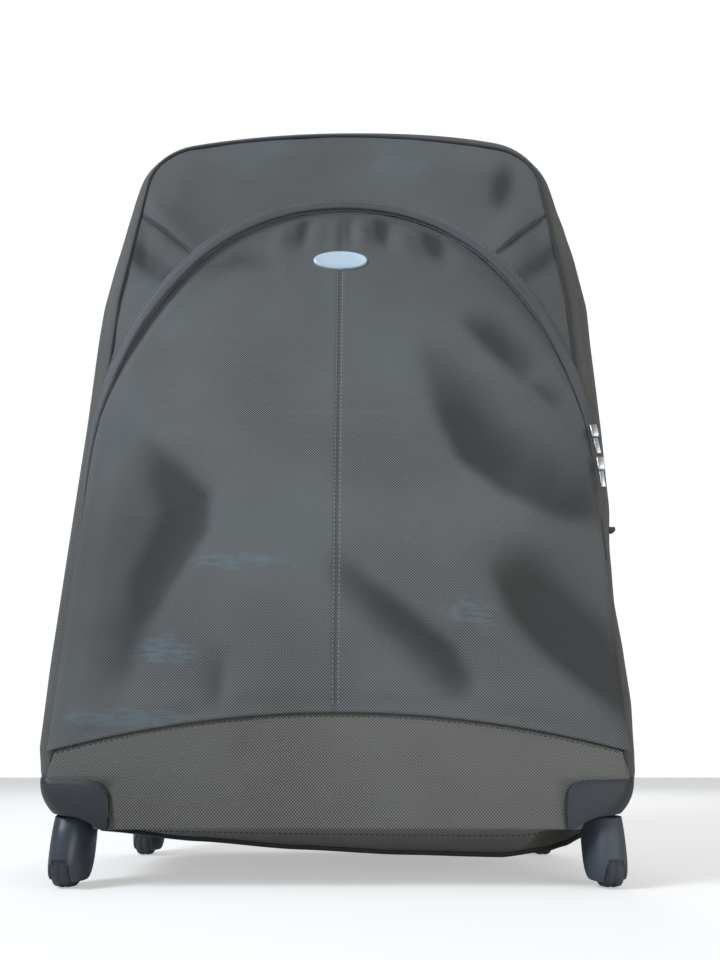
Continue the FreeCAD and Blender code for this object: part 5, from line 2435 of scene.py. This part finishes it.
@dataclass
class Studio:
    """Floor, light and camera."""

    bag: Bag
    distance: float = 0.625
    camera_x: float = 0.0175
    camera_z: float = 0.089
    aim_height: float = 0.40
    sensor: float = 36.0
    lens: float = 27.0
    floor_half: float = 6.0
    floor_glow: float = 0.42
    surround: float = 0.25
    surround_seen: float = 0.80
    tilt: float = math.radians(21.7)

    def camera(self) -> None:
        """A close camera that looks up at the bag."""
        data = bpy.data.cameras.new("camera")
        data.sensor_width = self.sensor
        data.lens = self.lens
        data.clip_start = 0.01
        eye = bpy.data.objects.new("camera", data)
        eye.location = (self.camera_x, self.bag.front - self.distance, self.camera_z)
        eye.rotation_euler = (math.pi / 2 + self.tilt, 0.0, 0.0)
        bpy.context.scene.collection.objects.link(eye)
        bpy.context.scene.camera = eye

    def floor(self) -> None:
        """A pale floor that keeps the bag's shadow."""
        bm = bmesh.new()
        bmesh.ops.create_grid(bm, x_segments=1, y_segments=1, size=self.floor_half)
        mesh = bpy.data.meshes.new("floor")
        bm.to_mesh(mesh)
        bm.free()
        floor = bpy.data.objects.new("floor", mesh)
        bpy.context.scene.collection.objects.link(floor)
        material = bpy.data.materials.new("pale floor")
        material.use_nodes = True
        shader = material.node_tree.nodes["Principled BSDF"]
        shader.inputs["Base Color"].default_value = (0.93, 0.93, 0.93, 1.0)
        shader.inputs["Roughness"].default_value = 0.9
        g = Graph(material.node_tree)
        shader.inputs["Emission Color"].default_value = (1.0, 1.0, 1.0, 1.0)
        seen = g.add("ShaderNodeLightPath").outputs["Is Camera Ray"]
        g.feed(shader.inputs["Emission Strength"], g.math("MULTIPLY", seen, self.floor_glow))
        mesh.materials.append(material)

    def world(self) -> None:
        """A soft white surround, brighter to the camera's own rays than to the cloth."""
        world = bpy.data.worlds.new("surround")
        bpy.context.scene.world = world
        world.use_nodes = True
        g = Graph(world.node_tree)
        background = world.node_tree.nodes["Background"]
        background.inputs["Color"].default_value = (0.96, 0.98, 1.0, 1.0)
        path = g.add("ShaderNodeLightPath")
        seen = g.math("MAXIMUM", path.outputs["Is Camera Ray"], path.outputs["Is Transmission Ray"])
        strength = g.math("MULTIPLY_ADD", seen, self.surround_seen, self.surround)
        g.feed(background.inputs["Strength"], strength)

    def lamp(self, name: str, place: tuple[float, float, float], size: float, power: float,
             colour: Colour) -> None:
        """One soft area lamp that looks at the bag's middle.

        Args:
            name: The lamp's name.
            place: Where it stands.
            size: Its width.
            power: In watts.
            colour: Of its light.
        """
        data = bpy.data.lights.new(name, "AREA")
        data.size = size
        data.energy = power
        data.color = colour
        lamp = bpy.data.objects.new(name, data)
        lamp.location = place
        aim = Vector((0, 0, self.aim_height)) - Vector(place)
        lamp.rotation_euler = aim.to_track_quat("-Z", "Y").to_euler()
        bpy.context.scene.collection.objects.link(lamp)

    def build(self) -> None:
        """Makes the whole stage."""
        bpy.context.scene.view_settings.view_transform = "Standard"
        self.camera()
        self.floor()
        self.world()
        self.lamp("key", (-1.7, -1.4, 1.5), 0.8, 38.0, (0.86, 0.93, 1.0))
        self.lamp("low", (1.1, -2.1, 0.25), 1.0, 17.0, (1.0, 0.96, 0.90))
        self.lamp("fill", (1.9, -1.4, 1.2), 1.4, 7.0, (1.0, 0.96, 0.90))
        self.lamp("rim", (0.3, 1.9, 1.8), 1.4, 12.0, (1.0, 1.0, 1.0))


def main() -> None:
    """Builds every piece in order."""
    logging.basicConfig(level=logging.INFO, format="%(message)s")
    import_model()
    band_low, band_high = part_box("case_band")
    yoke_low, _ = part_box("yoke_panel")
    outline = Outline(half_width=band_high.x, crown_top=band_high.z, foot=band_low.z - 0.003)
    bag = Bag(
        outline=outline, arch=Arch(), front=yoke_low.y, back=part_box("back_board")[1].y,
        split=(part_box("zip_lid_half")[1].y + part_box("zip_case_half")[0].y) / 2)
    Studio(bag).build()
    log.info("stage")
    pocket = PocketFace(bag)
    pocket.build()
    pocket.centre_seam()
    log.info("pocket face")
    skin = FrontSkin(bag)
    skin.build()
    log.info("front skin")
    ArchFlap(bag, skin).build()
    KickPanel(bag).build()
    log.info("flap and kick panel")
    Bands(bag).build()
    Underside(bag).build()
    BackFace(bag).build()
    log.info("bands, underside and back")
    for side in (1, -1):
        CornerGuard(bag, side, rear=False).build()
        CornerGuard(bag, side, rear=True).build()
    for name in ("front_left", "front_right", "rear_left", "rear_right"):
        Caster(name).build()
    log.info("guards and casters")
    Trim(bag).build()
    log.info("trim")


if __name__ == "__main__":
    main()
